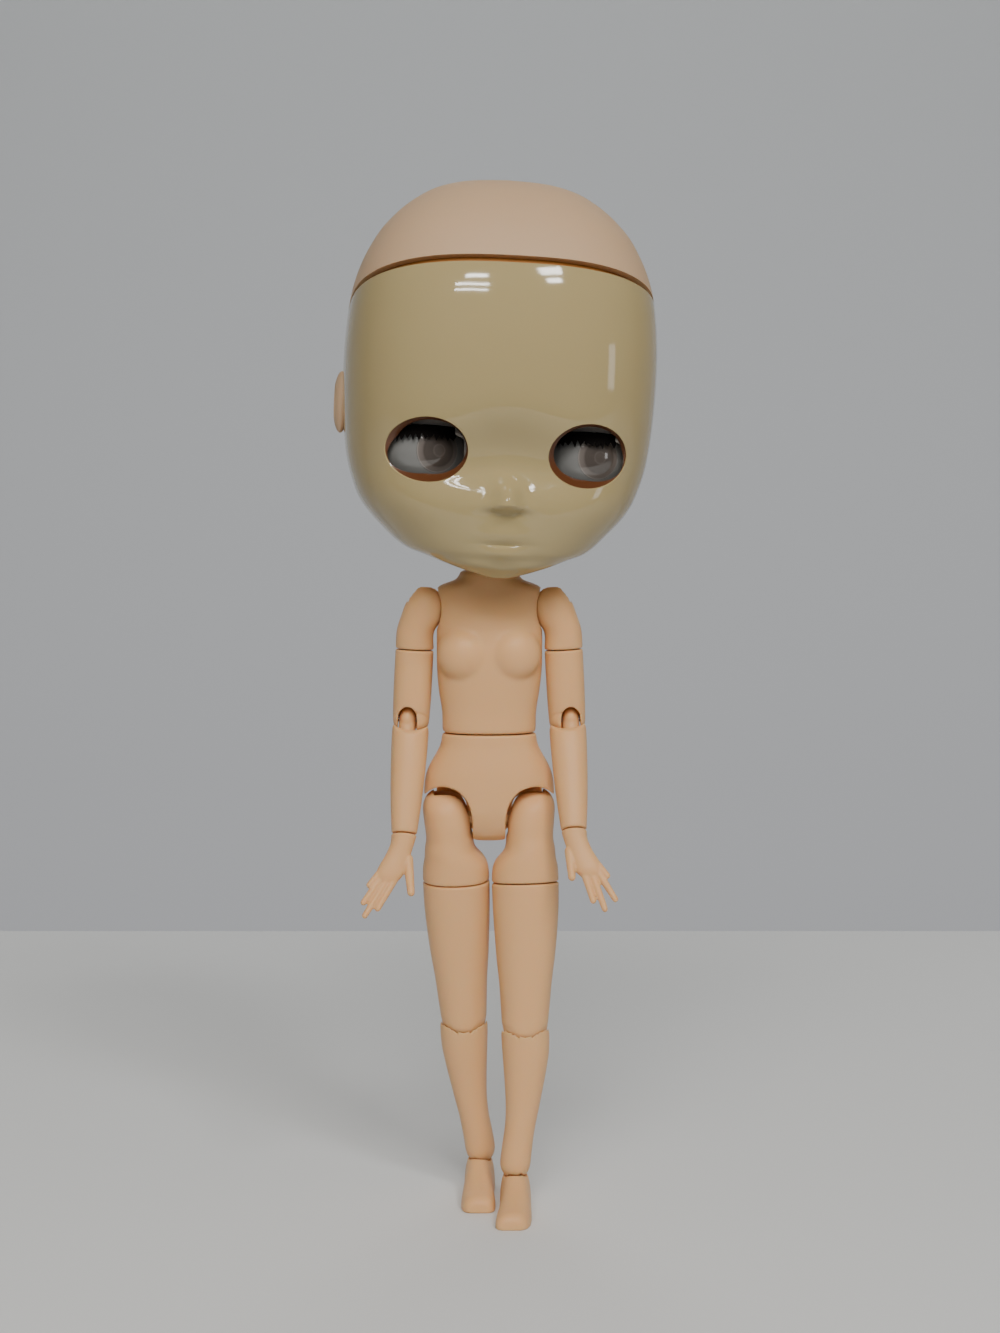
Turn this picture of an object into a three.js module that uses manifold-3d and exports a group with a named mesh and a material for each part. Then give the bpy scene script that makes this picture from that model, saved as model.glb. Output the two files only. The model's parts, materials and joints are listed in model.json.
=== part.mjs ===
// A jointed fashion doll with a large bald head and eyes that turn inside it.
// Millimetres, +Z up. The doll faces -Y, and its own left side is +X.
import * as THREE from 'three';
import { mergeVertices } from 'three/addons/utils/BufferGeometryUtils.js';
import Module from 'manifold-3d';

const wasm = await Module();
wasm.setup();

// Fits and walls shared by all pieces
const gap = 0.35; // clearance between two pieces that run on each other
const seamGap = 0.3; // clearance between two shells that butt together
const headWall = 2;

// Heights of the joints above the floor, with the doll standing straight
const ankleZ = 12.6;
const kneeZ = 54;
const thighSeamZ = 95.8;
const hipZ = 114;
const crotchZ = 108.3;
const waistZ = 139.8;
const shoulderZ = 176.4;
const neckPivotZ = 178.5;
const collarZ = 184.8;

// Distances of the joints from the middle plane
const hipX = 12;
const thighX = 10.2;
const kneeX = 9.1;
const ankleX = 5.2;
const shoulderX = 21.2;

// Cross-sections shared by the two pieces at a seam: half width, front depth, back depth
const waistSection = [13.8, 9.2, 8.4];
const thighSeamSection = [9.9, 9.4, 9.5];
const armSeamSection = [5.8, 5.5, 5.5];
const wristSection = [3.7, 3.5, 3.5];

// Pinned hinges: ball radius and half width, tongue half width, pin radius, V-notch angles
const kneeHinge = { radius: 7.1, halfWidth: 6.7, tongue: 2.2, pin: 1.3, upperNotch: 32, lowerNotch: 52 };
const elbowHinge = { radius: 5.4, halfWidth: 5.4, tongue: 1.7, pin: 1, upperNotch: 26, lowerNotch: 46 };
const ankleHinge = { radius: 4.4, halfWidth: 4.4, tongue: 1.5, pin: 0.9, upperNotch: 8, lowerNotch: 24 };
const hingeGap = 0.45; // round the ball of a hinge
const hingeCheek = 1.1; // wall left beside the end of a tongue

// Links of the shoulder and hip: a barrel on the limb's pin, and a shaft with a flange in the trunk
const shoulderLink = {
  barrel: 2.5, length: 3.6, pin: 1, shaft: 1.7, flange: 3.4, flangeX: 9.4, flangeThick: 1.8,
};
const hipLink = {
  barrel: 3.6, length: 5.2, pin: 1.4, shaft: 2.2, flange: 3.6, flangeX: 0.4, flangeThick: 1.4,
};

// Swivel pegs: radius and length past the seam
const armPeg = { radius: 1.9, length: 5 };
const thighPeg = { radius: 3.6, length: 8 };
const wristPeg = { radius: 1.3, length: 5 };
const waistPeg = { radius: 4.2, reach: 5, flange: 6.2, flangeThick: 1.8 };

// Trunk
const crotchHalfWidth = 4;
const legArchZ = 124.6; // top of the leg opening
const legArchOuterZ = 122.8; // leg opening at the side of the hip
const legArchInnerX = 3.6; // where the opening's inner curve meets its top, inside the hip's centre
const legArchSideX = 8; // where the opening meets the side of the hip, outside its centre
const bustX = 7;
const bustY = -8;
const bustZ = 161.5;
const bustRadii = [6.6, 4.9, 6.4];
const chestHollow = [11, 6.6, 9.5];
const pelvisHollow = [9, 6, 2.6];

// Arm, hand and foot
const shoulderTop = 6;
const shoulderSweep = 6.1; // reach of the cap's top round its pivot
const armSeamDrop = 12;
const upperArmLength = 32.6;
const forearmLength = 34.5;
const armSlant = 3; // degrees that the arm hangs outwards
const palmLength = 12;
const fingerRadius = 1.2;
// Fingers of each hand: root and tip, outwards from the wrist's middle and down from it
const leftFingers = [
  [2, 12, 4.4, 22.6],
  [4, 12, 7.6, 25.2],
  [5.2, 11.2, 10.9, 22.4],
  [4.4, 8.4, 9.2, 15.2],
];
const rightFingers = [
  [1.2, 12, 6.6, 23.2],
  [3, 11.8, 10.2, 25.4],
  [4.2, 10.8, 10.9, 21.6],
  [4.2, 9, 9.6, 16.4],
];
const leftThumb = [-1.6, 6.5, -1.4, 15.6];
const rightThumb = [-1.6, 7.5, -3.2, 18.4];
const footHeel = 9;
const footToe = 25;
const footHalfWidth = 5.6;
const toeHeight = 5;

// Neck
const neckRadius = 5.2;
const neckBall = 5.4;
const neckFlange = 7.2;
const neckFlangeThick = 1.8;
const neckNodRoom = 1.4; // extra radius of the collar round the nodding neck

// Head, measured from the point of the chin
const headHeight = 115.4;
const headWidth = 90;
const headFront = 40.8;
const headBack = 43;
const headLift = 6.1; // chin above the neck's nodding centre
const neckSeatZ = 10.6; // top of the skull's seat round the neck
const neckSeatRadius = 9.5;
const scalpZ = 81.2; // height of the scalp line over the ears
const scalpSlope = 14.5; // degrees that the scalp line rises to the forehead
const scalpOpen = 1.3; // degrees that the scalp stands open at the forehead
const scalpLip = 4;
const scalpLipWall = 1.6;
const scalpBand = 4; // height of the thick band that carries the lip
const noseZ = 21;
const noseY = -35.4;
const noseReach = 5;
const lipsZ = 11.3;
const lipsY = -33.6;
const chinZ = 3.6;
const chinY = -28.2;
const earPlaneY = 4; // plane where face and back of the head meet
const earZ = 50;
const earRadii = [3.8, 5.2, 10];
const cordHoleZ = 34;
const cordHoleRadius = 1.6;

// Screws of the head and of the eye frame
const headPostX = headWidth * 0.267;
const headPostZ = 17.4;
const headPostRadius = 3;
const screwRadius = 1.1;
const screwHeadRadius = 2.1;
const screwHeadThick = 1.4;
const headScrewSeatY = 15.5;
const screwGrip = 6; // depth of thread in the boss
const frameBossRadius = 2.6;

// Eyes
const eyeX = headWidth * 0.2516;
const eyeY = -16.9;
const eyeZ = 36.7;
const eyeOpenHalfWidth = 11.3;
const eyeOpenHalfHeight = 8.9;
const eyeballRadius = 12.8;
const eyeballHalfWidth = 10.5;
const lidGap = 0.55; // round the turning eyeball
const lidThick = 1;
const lidLowEdge = 27; // degrees above level of the lid's front edge
const lidHighEdge = 165; // degrees of the lid's back edge
const lashHalfWidth = 9.2;
const lashThick = 0.6;
const lashDrop = 5; // degrees of lid that the lash strip covers
const lidBarAngle = 148;
const lidBarRadius = 1.4;
const chipRadius = 6.2;
const chipThick = 1.7;
const chipGlance = 18; // degrees that the front and back discs look to one side
const axleRadius = 1.6;
const frameHalfThick = 2.6;
const frameStripHalfWidth = 4;
const frameStripY = -30.5;
const frameStripThick = 3;
const frameScrewUp = 15.5;
const frameScrewDown = 12;
const springTurns = 5;
const springWire = 0.4;

// Pose of the photographed doll, in degrees
const headRoll = 2.5;
const headYaw = 6;
const leftLegSwing = -4.5; // leg forward is negative
const rightLegSwing = 4.5;
const legLean = -1.4; // both legs lean to the doll's left at the foot
const leftElbowBend = -27;
const rightElbowBend = -20;

// Facets
const limbSides = 10;
const limbRings = 5;
const trunkSides = 14;
const trunkRings = 8;
const headSides = 22;
const headRings = 12;
const innerHeadSides = 14;
const innerHeadRings = 6;
const eyeSides = 12;
const discSides = 9;
const roundSides = 10;
const smallSides = 7;
const fingerSides = 5;
const coilSides = 6;

// Colours and finishes
const skin = { color: 0xedc9a4, roughness: 0.5, metalness: 0 };
const faceGloss = { color: 0xdfcda4, roughness: 0.12, metalness: 0 };
const scalpMatte = { color: 0xe6cdb2, roughness: 0.55, metalness: 0 };
const eyeWhite = { color: 0xc9c5bd, roughness: 0.25, metalness: 0 };
const eyeGrey = { color: 0x77706a, roughness: 0.08, metalness: 0 };
const lidPaint = { color: 0x8f7a66, roughness: 0.45, metalness: 0 };
const lashBlack = { color: 0x17120f, roughness: 0.6, metalness: 0 };
const innerPlastic = { color: 0xd8d4c8, roughness: 0.5, metalness: 0 };
const steel = { color: 0xb4b6b8, roughness: 0.35, metalness: 1 };

const degrees = (angle) => THREE.MathUtils.degToRad(angle);

// A closed geometry becomes a solid that can be cut and joined.
function solid(geometry) {
  const bare = geometry.index ? geometry.toNonIndexed() : geometry;
  bare.deleteAttribute('normal');
  bare.deleteAttribute('uv');
  const merged = mergeVertices(bare, 1e-4);
  const mesh = new wasm.Mesh({
    numProp: 3,
    vertProperties: new Float32Array(merged.attributes.position.array),
    triVerts: new Uint32Array(merged.index.array),
  });
  return new wasm.Manifold(mesh);
}

function geometryOf(body) {
  const mesh = body.getMesh();
  const geometry = new THREE.BufferGeometry();
  geometry.setAttribute('position', new THREE.BufferAttribute(new Float32Array(mesh.vertProperties), 3));
  geometry.setIndex(new THREE.BufferAttribute(new Uint32Array(mesh.triVerts), 1));
  geometry.computeVertexNormals();
  return geometry;
}

const cut = (body, ...tools) => tools.reduce((left, tool) => left.subtract(tool), body);
const join = (body, ...others) => others.reduce((sum, other) => sum.add(other), body);

function block(x0, x1, y0, y1, z0, z1) {
  const box = new THREE.BoxGeometry(x1 - x0, y1 - y0, z1 - z0);
  return solid(box.translate((x0 + x1) / 2, (y0 + y1) / 2, (z0 + z1) / 2));
}

function ellipsoid(center, radii, around = roundSides) {
  const ball = new THREE.SphereGeometry(1, around, Math.round(around / 2));
  ball.rotateZ(Math.PI / 2);
  return solid(ball.scale(...radii).translate(...center));
}

// A round bar from one point to another, with a radius at each end.
function bar(from, to, startRadius, endRadius = startRadius, around = roundSides) {
  const start = new THREE.Vector3(...from);
  const way = new THREE.Vector3(...to).sub(start);
  const cone = new THREE.CylinderGeometry(endRadius, startRadius, way.length(), around);
  cone.translate(0, way.length() / 2, 0);
  const turn = new THREE.Quaternion().setFromUnitVectors(new THREE.Vector3(0, 1, 0), way.normalize());
  cone.applyQuaternion(turn);
  return solid(cone.translate(...from));
}

// Values between the rows of a table, along a smooth curve through them.
function between(rows, share) {
  let low = 0;
  while (low < rows.length - 2 && share > rows[low + 1][0]) low += 1;
  const [before, start, end, after] = [low - 1, low, low + 1, low + 2].map(
    (row) => rows[Math.min(Math.max(row, 0), rows.length - 1)],
  );
  const span = end[0] - start[0];
  const t = (share - start[0]) / span;
  return start.map((value, column) => {
    const slopeStart = ((end[column] - before[column]) / (end[0] - before[0])) * span;
    const slopeEnd = ((after[column] - value) / (after[0] - start[0])) * span;
    const t2 = t * t;
    const t3 = t2 * t;
    return (2 * t3 - 3 * t2 + 1) * value + (t3 - 2 * t2 + t) * slopeStart
      + (3 * t2 - 2 * t3) * end[column] + (t3 - t2) * slopeEnd;
  });
}

// A form lofted upwards through rounded cross-sections.
// Each row is: height share, half width, front depth, back depth, x centre, y centre.
// Eased rings crowd towards both ends, where a closed form curves most.
function loftGeometry(bottom, top, rows, options = {}) {
  const { around = limbSides, rings = limbRings, power = 2.2, inset = 0, eased = false } = options;
  const points = [];
  for (let ring = 0; ring <= rings; ring += 1) {
    const even = ring / rings;
    const share = eased ? (1 - Math.cos(even * Math.PI)) / 2 : even;
    const [, half, front, back, x, y] = between(rows, share);
    const z = bottom + inset + (top - bottom - 2 * inset) * share;
    for (let step = 0; step < around; step += 1) {
      const angle = (step / around) * 2 * Math.PI;
      const across = Math.sign(Math.cos(angle)) * Math.abs(Math.cos(angle)) ** (2 / power);
      const along = Math.sign(Math.sin(angle)) * Math.abs(Math.sin(angle)) ** (2 / power);
      const depth = Math.max((along < 0 ? front : back) - inset, 0.05);
      points.push(x + across * Math.max(half - inset, 0.05), y + along * depth, z);
    }
  }
  const faces = [];
  for (let ring = 0; ring < rings; ring += 1) {
    for (let step = 0; step < around; step += 1) {
      const a = ring * around + step;
      const b = ring * around + ((step + 1) % around);
      faces.push(a, b, b + around, a, b + around, a + around);
    }
  }
  const bottomCentre = points.length / 3;
  for (const ring of [0, rings]) {
    const middle = [0, 0, 0];
    for (let step = 0; step < around; step += 1) {
      const first = (ring * around + step) * 3;
      for (let axis = 0; axis < 3; axis += 1) middle[axis] += points[first + axis] / around;
    }
    points.push(...middle);
  }
  for (let step = 0; step < around; step += 1) {
    const next = (step + 1) % around;
    const last = rings * around;
    faces.push(bottomCentre, next, step, bottomCentre + 1, last + step, last + next);
  }
  const geometry = new THREE.BufferGeometry();
  geometry.setAttribute('position', new THREE.BufferAttribute(new Float32Array(points), 3));
  geometry.setIndex(faces);
  return geometry;
}
const loft = (...settings) => solid(loftGeometry(...settings));

// A named mesh of one solid, put in its group.
function piece(name, body, finish, group) {
  const mesh = new THREE.Mesh(geometryOf(body), new THREE.MeshStandardMaterial(finish));
  mesh.name = name;
  group.add(mesh);
  return mesh;
}

function subgroup(name, parent, position, rotation = [0, 0, 0]) {
  const group = new THREE.Group();
  group.name = name;
  group.position.set(...position);
  group.rotation.set(...rotation.map(degrees));
  parent.add(group);
  return group;
}

// A wide box that stands for everything on one side of a plane.
const far = 400;
function above(z) {
  return block(-far, far, -far, far, z, z + far);
}

// Everything above a plane that slopes down to the back by an angle in degrees.
function aboveSlope(z, slope) {
  const box = new THREE.BoxGeometry(2 * far, 2 * far, far).translate(0, 0, far / 2);
  return solid(box.rotateX(degrees(-slope)).translate(0, 0, z));
}

// The skull: a wide face over a small pointed chin, round at the back.
// Each row is a set of shares: height, half width, reach to the front, reach to the back, y centre.
const skullRows = [
  [0, 0.089, 0.662, -0.488, -0.588],
  [0.042, 0.433, 0.76, -0.14, -0.441],
  [0.078, 0.569, 0.814, 0.279, -0.196],
  [0.116, 0.693, 0.853, 0.535, -0.074],
  [0.185, 0.853, 0.902, 0.721, 0],
  [0.255, 0.931, 0.939, 0.837, 0],
  [0.325, 0.971, 0.966, 0.907, 0],
  [0.445, 0.996, 0.995, 0.977, 0],
  [0.567, 1, 1, 1, 0],
  [0.674, 0.978, 0.966, 1, 0],
  [0.743, 0.942, 0.917, 0.967, 0],
  [0.813, 0.871, 0.833, 0.907, 0],
  [0.882, 0.756, 0.711, 0.805, 0],
  [0.951, 0.556, 0.502, 0.605, 0.049],
  [0.985, 0.344, 0.294, 0.395, 0.074],
  [1, 0.044, 0.025, 0.186, 0.086],
].map(([share, half, front, back, y]) => [
  share,
  (half * headWidth) / 2,
  (front + y) * headFront,
  back * headBack - y * headFront,
  0,
  y * headFront,
]);
const skullPower = 2.6;

function skull(inset, around = headSides, rings = headRings) {
  return loft(0, headHeight, skullRows, { around, rings, power: skullPower, inset, eased: true });
}

// A wedge about a line along X through the origin, between two angles measured from the front up.
function wedge(radius, fromAngle, toAngle, halfWidth) {
  const outline = new THREE.Shape();
  outline.moveTo(0, 0);
  outline.lineTo(radius * Math.cos(degrees(fromAngle)), radius * Math.sin(degrees(fromAngle)));
  outline.absarc(0, 0, radius, degrees(fromAngle), degrees(toAngle), false);
  outline.closePath();
  const slab = new THREE.ExtrudeGeometry(outline, {
    depth: 2 * halfWidth,
    bevelEnabled: false,
    curveSegments: 8,
  });
  slab.translate(0, 0, -halfWidth);
  const front = new THREE.Vector3(0, -1, 0);
  const up = new THREE.Vector3(0, 0, 1);
  slab.applyMatrix4(new THREE.Matrix4().makeBasis(front, up, new THREE.Vector3(-1, 0, 0)));
  return solid(slab);
}

// A slice of a ball's shell about the eyes' axle.
function shellSlice(inner, outer, fromAngle, toAngle, halfWidth) {
  const ball = ellipsoid([0, 0, 0], [outer, outer, outer], eyeSides);
  const hollow = ellipsoid([0, 0, 0], [inner, inner, inner], eyeSides);
  return cut(ball, hollow).intersect(wedge(2 * outer, fromAngle, toAngle, halfWidth));
}

// A countersunk screw along Y with its head at the back, and the holes that it needs.
function screwAlongY(x, z, seatY, shaftLength) {
  const shaft = bar([x, seatY - shaftLength, z], [x, seatY, z], screwRadius, screwRadius, smallSides);
  const top = [x, seatY + screwHeadThick, z];
  const head = bar([x, seatY - seamGap / 2, z], top, screwHeadRadius, screwHeadRadius, smallSides);
  return join(shaft, head);
}
function screwHole(x, z, seatY, shaftLength, wayOut) {
  const bore = screwRadius + seamGap;
  const shaft = bar([x, seatY - shaftLength - seamGap, z], [x, seatY, z], bore, bore, smallSides);
  const room = screwHeadRadius + seamGap;
  return join(shaft, bar([x, seatY - seamGap, z], [x, seatY + wayOut, z], room, room, smallSides));
}

const lidInner = eyeballRadius + lidGap;
const lidOuter = lidInner + lidThick;
const hubOuter = eyeballHalfWidth + gap + lidThick;

// The room in which a lid turns behind the face
function lidPocket(x) {
  const reach = (lidOuter + gap) / Math.cos(Math.PI / eyeSides);
  const ball = ellipsoid([x, eyeY, eyeZ], [reach, reach, reach], eyeSides);
  return ball.intersect(block(x - hubOuter - gap, x + hubOuter + gap, -far, far, -far, far));
}

const neckTopZ = neckSeatZ + gap + neckFlangeThick;
const headScrewLength = headScrewSeatY - earPlaneY + screwGrip;
const frameBackY = frameStripY + frameStripThick;
const frameScrewLength = frameStripThick + screwGrip;
const frameScrewZ = [eyeZ + frameScrewUp, eyeZ - frameScrewDown];

// Face with its eye openings, nose, lips and chin, and the posts for the screws
function faceBody(outer, hollow) {
  const front = block(-far, far, -far, earPlaneY - seamGap / 2, -far, far);
  let room = hollow;
  for (const z of frameScrewZ) {
    const bossEnd = [0, frameStripY - seamGap, z];
    room = cut(room, bar([0, -far, z], bossEnd, frameBossRadius, frameBossRadius, smallSides));
  }
  for (const x of [-headPostX, headPostX]) {
    const post = bar([x, -far, headPostZ], [x, far, headPostZ], headPostRadius, headPostRadius, smallSides);
    room = cut(room, post);
  }
  const features = [
    ellipsoid([0, noseY, noseZ + 1.6], [4.2, noseReach, 6.4], smallSides),
    ellipsoid([0, noseY, noseZ - 1.6], [6.2, noseReach - 0.7, 2.7], smallSides),
    ellipsoid([0, lipsY, lipsZ + 1.8], [6.2, 2.6, 1.6], smallSides),
    ellipsoid([0, lipsY + 1, lipsZ - 1.8], [4.6, 2.9, 2], smallSides),
    ellipsoid([0, chinY, chinZ], [6.4, 4.4, 3.2], smallSides),
  ];
  let face = cut(join(outer, ...features), room).intersect(front);
  for (const x of [-headPostX, headPostX]) {
    const opening = new THREE.CylinderGeometry(1, 1, far, 20).scale(eyeOpenHalfWidth, 1, eyeOpenHalfHeight);
    opening.translate(Math.sign(x) * eyeX, eyeY - far / 2, eyeZ);
    face = cut(face, solid(opening), screwHole(x, headPostZ, headScrewSeatY, headScrewLength, far));
  }
  for (const z of frameScrewZ) face = cut(face, screwHole(0, z, frameBackY, frameScrewLength, gap));
  return face;
}

// Back of the head with the ears, screw bosses and the hole of the pull cord
function backBody(outer, hollow) {
  const behind = block(-far, far, earPlaneY + seamGap / 2, far, -far, far);
  let room = hollow;
  for (const x of [-headPostX, headPostX]) {
    const post = bar([x, -far, headPostZ], [x, far, headPostZ], headPostRadius, headPostRadius, smallSides);
    room = cut(room, post);
  }
  let back = outer;
  for (const side of [-1, 1]) {
    const earX = (side * headWidth) / 2;
    const earY = earPlaneY + earRadii[1] + 1.5;
    const ear = ellipsoid([earX, earY, earZ], earRadii);
    const dentRadii = earRadii.map((radius) => radius * 0.62);
    const dent = ellipsoid([earX + side * earRadii[0], earY - 0.5, earZ], dentRadii, smallSides);
    back = join(back, cut(ear, dent));
  }
  back = cut(back.intersect(behind), room);
  for (const x of [-headPostX, headPostX]) {
    back = cut(back, screwHole(x, headPostZ, headScrewSeatY, headScrewLength, far));
  }
  return cut(back, bar([0, 0, cordHoleZ], [0, far, cordHoleZ], cordHoleRadius, cordHoleRadius, smallSides));
}

function buildHeadShells(head) {
  const outer = skull(0);
  const seat = bar([0, 0, -far], [0, 0, neckSeatZ], neckSeatRadius);
  const neckRoom = bar([0, 0, -far], [0, 0, neckTopZ], neckRadius + 2 * gap);
  const flangeRoom = bar([0, 0, neckSeatZ], [0, 0, neckTopZ + gap], neckFlange + 2 * gap);
  let hollow = join(cut(skull(headWall, innerHeadSides, innerHeadRings), seat), neckRoom, flangeRoom);
  for (const x of [-eyeX, eyeX]) hollow = join(hollow, lidPocket(x));
  const belowScalp = (body) => cut(body, aboveSlope(scalpZ - seamGap / 2, scalpSlope));
  piece('face_plate', belowScalp(faceBody(outer, hollow)), faceGloss, head);
  piece('back_head', belowScalp(backBody(outer, hollow)), scalpMatte, head);

  // Scalp dome with a lip that stands inside the face and the back
  const openRise = (headBack * Math.PI * scalpOpen) / 180;
  const crown = outer.intersect(aboveSlope(scalpZ + seamGap + openRise, scalpSlope + scalpOpen));
  const lipOuter = skull(headWall + 2 * gap, innerHeadSides, innerHeadRings);
  const lipInner = skull(headWall + 2 * gap + scalpLipWall, innerHeadSides, innerHeadRings);
  const lip = lipOuter.intersect(aboveSlope(scalpZ - scalpLip, scalpSlope));
  const crownRoom = skull(headWall, innerHeadSides, innerHeadRings);
  const crownHollow = crownRoom.intersect(aboveSlope(scalpZ + openRise + scalpBand, scalpSlope));
  piece('scalp_dome', cut(join(crown, lip), lipInner, crownHollow), scalpMatte, head);

  for (const [side, x] of [['right', -headPostX], ['left', headPostX]]) {
    piece(`${side}_head_screw`, screwAlongY(x, headPostZ, headScrewSeatY, headScrewLength), steel, head);
  }
}

// The eye frame is screwed behind the nose bridge and carries the axle in its middle plate.
function buildEyeFrame(head) {
  const stripTop = eyeZ + frameScrewUp + frameBossRadius + 1;
  const stripFoot = eyeZ - frameScrewDown - frameBossRadius - 1;
  const stripHalf = frameStripHalfWidth;
  const strip = block(-stripHalf, stripHalf, frameStripY, frameBackY, stripFoot, stripTop);
  const plateTop = eyeZ + frameScrewUp - screwHeadRadius - 1.5;
  const plateFoot = eyeZ - frameScrewDown + screwHeadRadius + 1.5;
  const plateBackY = eyeY + 4 * axleRadius;
  const plate = block(-frameHalfThick, frameHalfThick, frameBackY - 1, plateBackY, plateFoot, plateTop);
  const bearing = bar([-far, eyeY, eyeZ], [far, eyeY, eyeZ], axleRadius + gap);
  let frame = cut(join(strip, plate), bearing);
  for (const z of frameScrewZ) frame = cut(frame, screwHole(0, z, frameBackY, frameScrewLength, gap));
  piece('eye_frame', frame, innerPlastic, head);
  piece('upper_frame_screw', screwAlongY(0, frameScrewZ[0], frameBackY, frameScrewLength), steel, head);
  piece('lower_frame_screw', screwAlongY(0, frameScrewZ[1], frameBackY, frameScrewLength), steel, head);

  // The torsion spring winds round the axle between the frame and the left lid.
  const springFrom = frameHalfThick + springWire + gap;
  const springTo = eyeX - eyeballHalfWidth - gap - lidThick - gap - springWire;
  const springRadius = axleRadius + 2 * gap + springWire;
  const turns = [];
  for (let step = 0; step <= springTurns * coilSides; step += 1) {
    const angle = (step / coilSides) * 2 * Math.PI;
    const x = springFrom + ((springTo - springFrom) * step) / (springTurns * coilSides);
    const y = eyeY + springRadius * Math.cos(angle);
    turns.push(new THREE.Vector3(x, y, eyeZ + springRadius * Math.sin(angle)));
  }
  const wire = new THREE.Shape();
  wire.absarc(0, 0, springWire, 0, 2 * Math.PI, false);
  const spring = new THREE.ExtrudeGeometry(wire, {
    steps: springTurns * coilSides,
    curveSegments: 2,
    bevelEnabled: false,
    extrudePath: new THREE.CatmullRomCurve3(turns),
  });
  piece('return_spring', solid(spring), steel, head);
}

// Two eyeballs on one axle, each with four discs that come to the front in turn.
function buildEyes(eyes) {
  const axleEnd = eyeX + hubOuter;
  const axle = bar([-axleEnd, 0, 0], [axleEnd, 0, 0], axleRadius);
  piece('eye_axle', axle, steel, eyes);
  const bore = bar([-far, 0, 0], [far, 0, 0], axleRadius + seamGap);
  const ball = ellipsoid([0, 0, 0], [eyeballRadius, eyeballRadius, eyeballRadius], eyeSides);
  const width = block(-eyeballHalfWidth, eyeballHalfWidth, -far, far, -far, far);
  const floor = Math.sqrt(eyeballRadius ** 2 - chipRadius ** 2) - chipThick;
  for (const [side, x] of [['right', -eyeX], ['left', eyeX]]) {
    const local = subgroup(`${side}_eye`, eyes, [x, 0, 0]);
    let eyeball = cut(ball.intersect(width), bore);
    for (let stop = 0; stop < 4; stop += 1) {
      const glance = degrees(chipGlance * [1, 0, -1, 0][stop]);
      const turn = (stop * Math.PI) / 2;
      const look = [Math.sin(glance), -Math.cos(glance) * Math.cos(turn), Math.cos(glance) * Math.sin(turn)];
      const at = (distance) => look.map((part) => part * distance);
      const roomRadius = chipRadius + seamGap;
      const room = bar(at(floor - seamGap), at(2 * eyeballRadius), roomRadius, roomRadius, discSides);
      eyeball = cut(eyeball, room);
      const chip = bar(at(floor), at(2 * eyeballRadius), chipRadius, chipRadius, discSides).intersect(ball);
      piece(`${side}_eye_disc_${stop + 1}`, chip, eyeGrey, local);
    }
    piece(`${side}_eyeball`, eyeball, eyeWhite, local);
  }
}

function buildLids(lids) {
  const hole = bar([-far, 0, 0], [far, 0, 0], axleRadius + gap);
  const lashInner = lidOuter + seamGap;
  const hubRadius = Math.sqrt(lidOuter ** 2 - hubOuter ** 2); // where the shell ends on the hub
  for (const [side, x] of [['right', -eyeX], ['left', eyeX]]) {
    const local = subgroup(`${side}_lid`, lids, [x, 0, 0]);
    let lid = shellSlice(lidInner, lidOuter, lidLowEdge, lidHighEdge, hubOuter);
    for (const end of [-1, 1]) {
      const hubFrom = [end * (hubOuter - lidThick), 0, 0];
      const hub = bar(hubFrom, [end * hubOuter, 0, 0], hubRadius, hubRadius, eyeSides);
      lid = join(lid, hub);
    }
    piece(`${side}_eyelid`, cut(lid, hole), lidPaint, local);
    const lashTop = lidLowEdge + lashDrop;
    const lash = shellSlice(lashInner, lashInner + lashThick, lidLowEdge, lashTop, lashHalfWidth);
    piece(`${side}_lashes`, lash, lashBlack, local);
  }
  const reach = lidOuter + seamGap + lidBarRadius;
  const barY = -reach * Math.cos(degrees(lidBarAngle));
  const barZ = reach * Math.sin(degrees(lidBarAngle));
  const rod = bar([-eyeX, barY, barZ], [eyeX, barY, barZ], lidBarRadius, lidBarRadius, smallSides);
  piece('lid_bar', rod, innerPlastic, lids);
}

function buildHead(neck) {
  const head = subgroup('head', neck, [0, 0, headLift], [0, 0, headYaw]);
  buildHeadShells(head);
  buildEyeFrame(head);
  buildEyes(subgroup('eyes', head, [0, eyeY, eyeZ]));
  buildLids(subgroup('eyelids', head, [0, eyeY, eyeZ]));
}

// The neck post nods on a ball in the chest, and its flange holds the turning head.
function buildNeck(torso) {
  const neck = subgroup('neck', torso, [0, 0, neckPivotZ], [0, headRoll, 0]);
  const flangeFoot = headLift + neckSeatZ + gap;
  const ball = ellipsoid([0, 0, 0], [neckBall, neckBall, neckBall], eyeSides);
  const flangeTop = flangeFoot + neckFlangeThick;
  const column = bar([0, 0, 0], [0, 0, flangeTop], neckRadius, neckRadius, eyeSides);
  const flange = bar([0, 0, flangeFoot], [0, 0, flangeTop], neckFlange, neckFlange, eyeSides);
  piece('neck_post', join(ball, column, flange), skin, neck);
  buildHead(neck);
}

// A pinned hinge about X. It folds to +Y where fold is 1, and to -Y where it is -1.
// The upper piece ends in a slotted ball round the hinge's centre.
function hingeEnd(body, { radius, halfWidth, tongue, pin, upperNotch }, fold, center = [0, 0, 0]) {
  const [x, , z] = center;
  const ball = ellipsoid(center, [halfWidth, radius, radius]);
  const shaft = above(z).intersect(aboveSlope(z, -fold * upperNotch));
  const inner = radius - hingeCheek;
  const slotY = [-inner * fold, far * fold].sort((a, b) => a - b);
  const slot = block(x - tongue - gap, x + tongue + gap, ...slotY, z - far, z + inner);
  const hole = pin + seamGap;
  return cut(body.intersect(join(shaft, ball)), slot, bar([-far, 0, z], [far, 0, z], hole, hole, smallSides));
}

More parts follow.
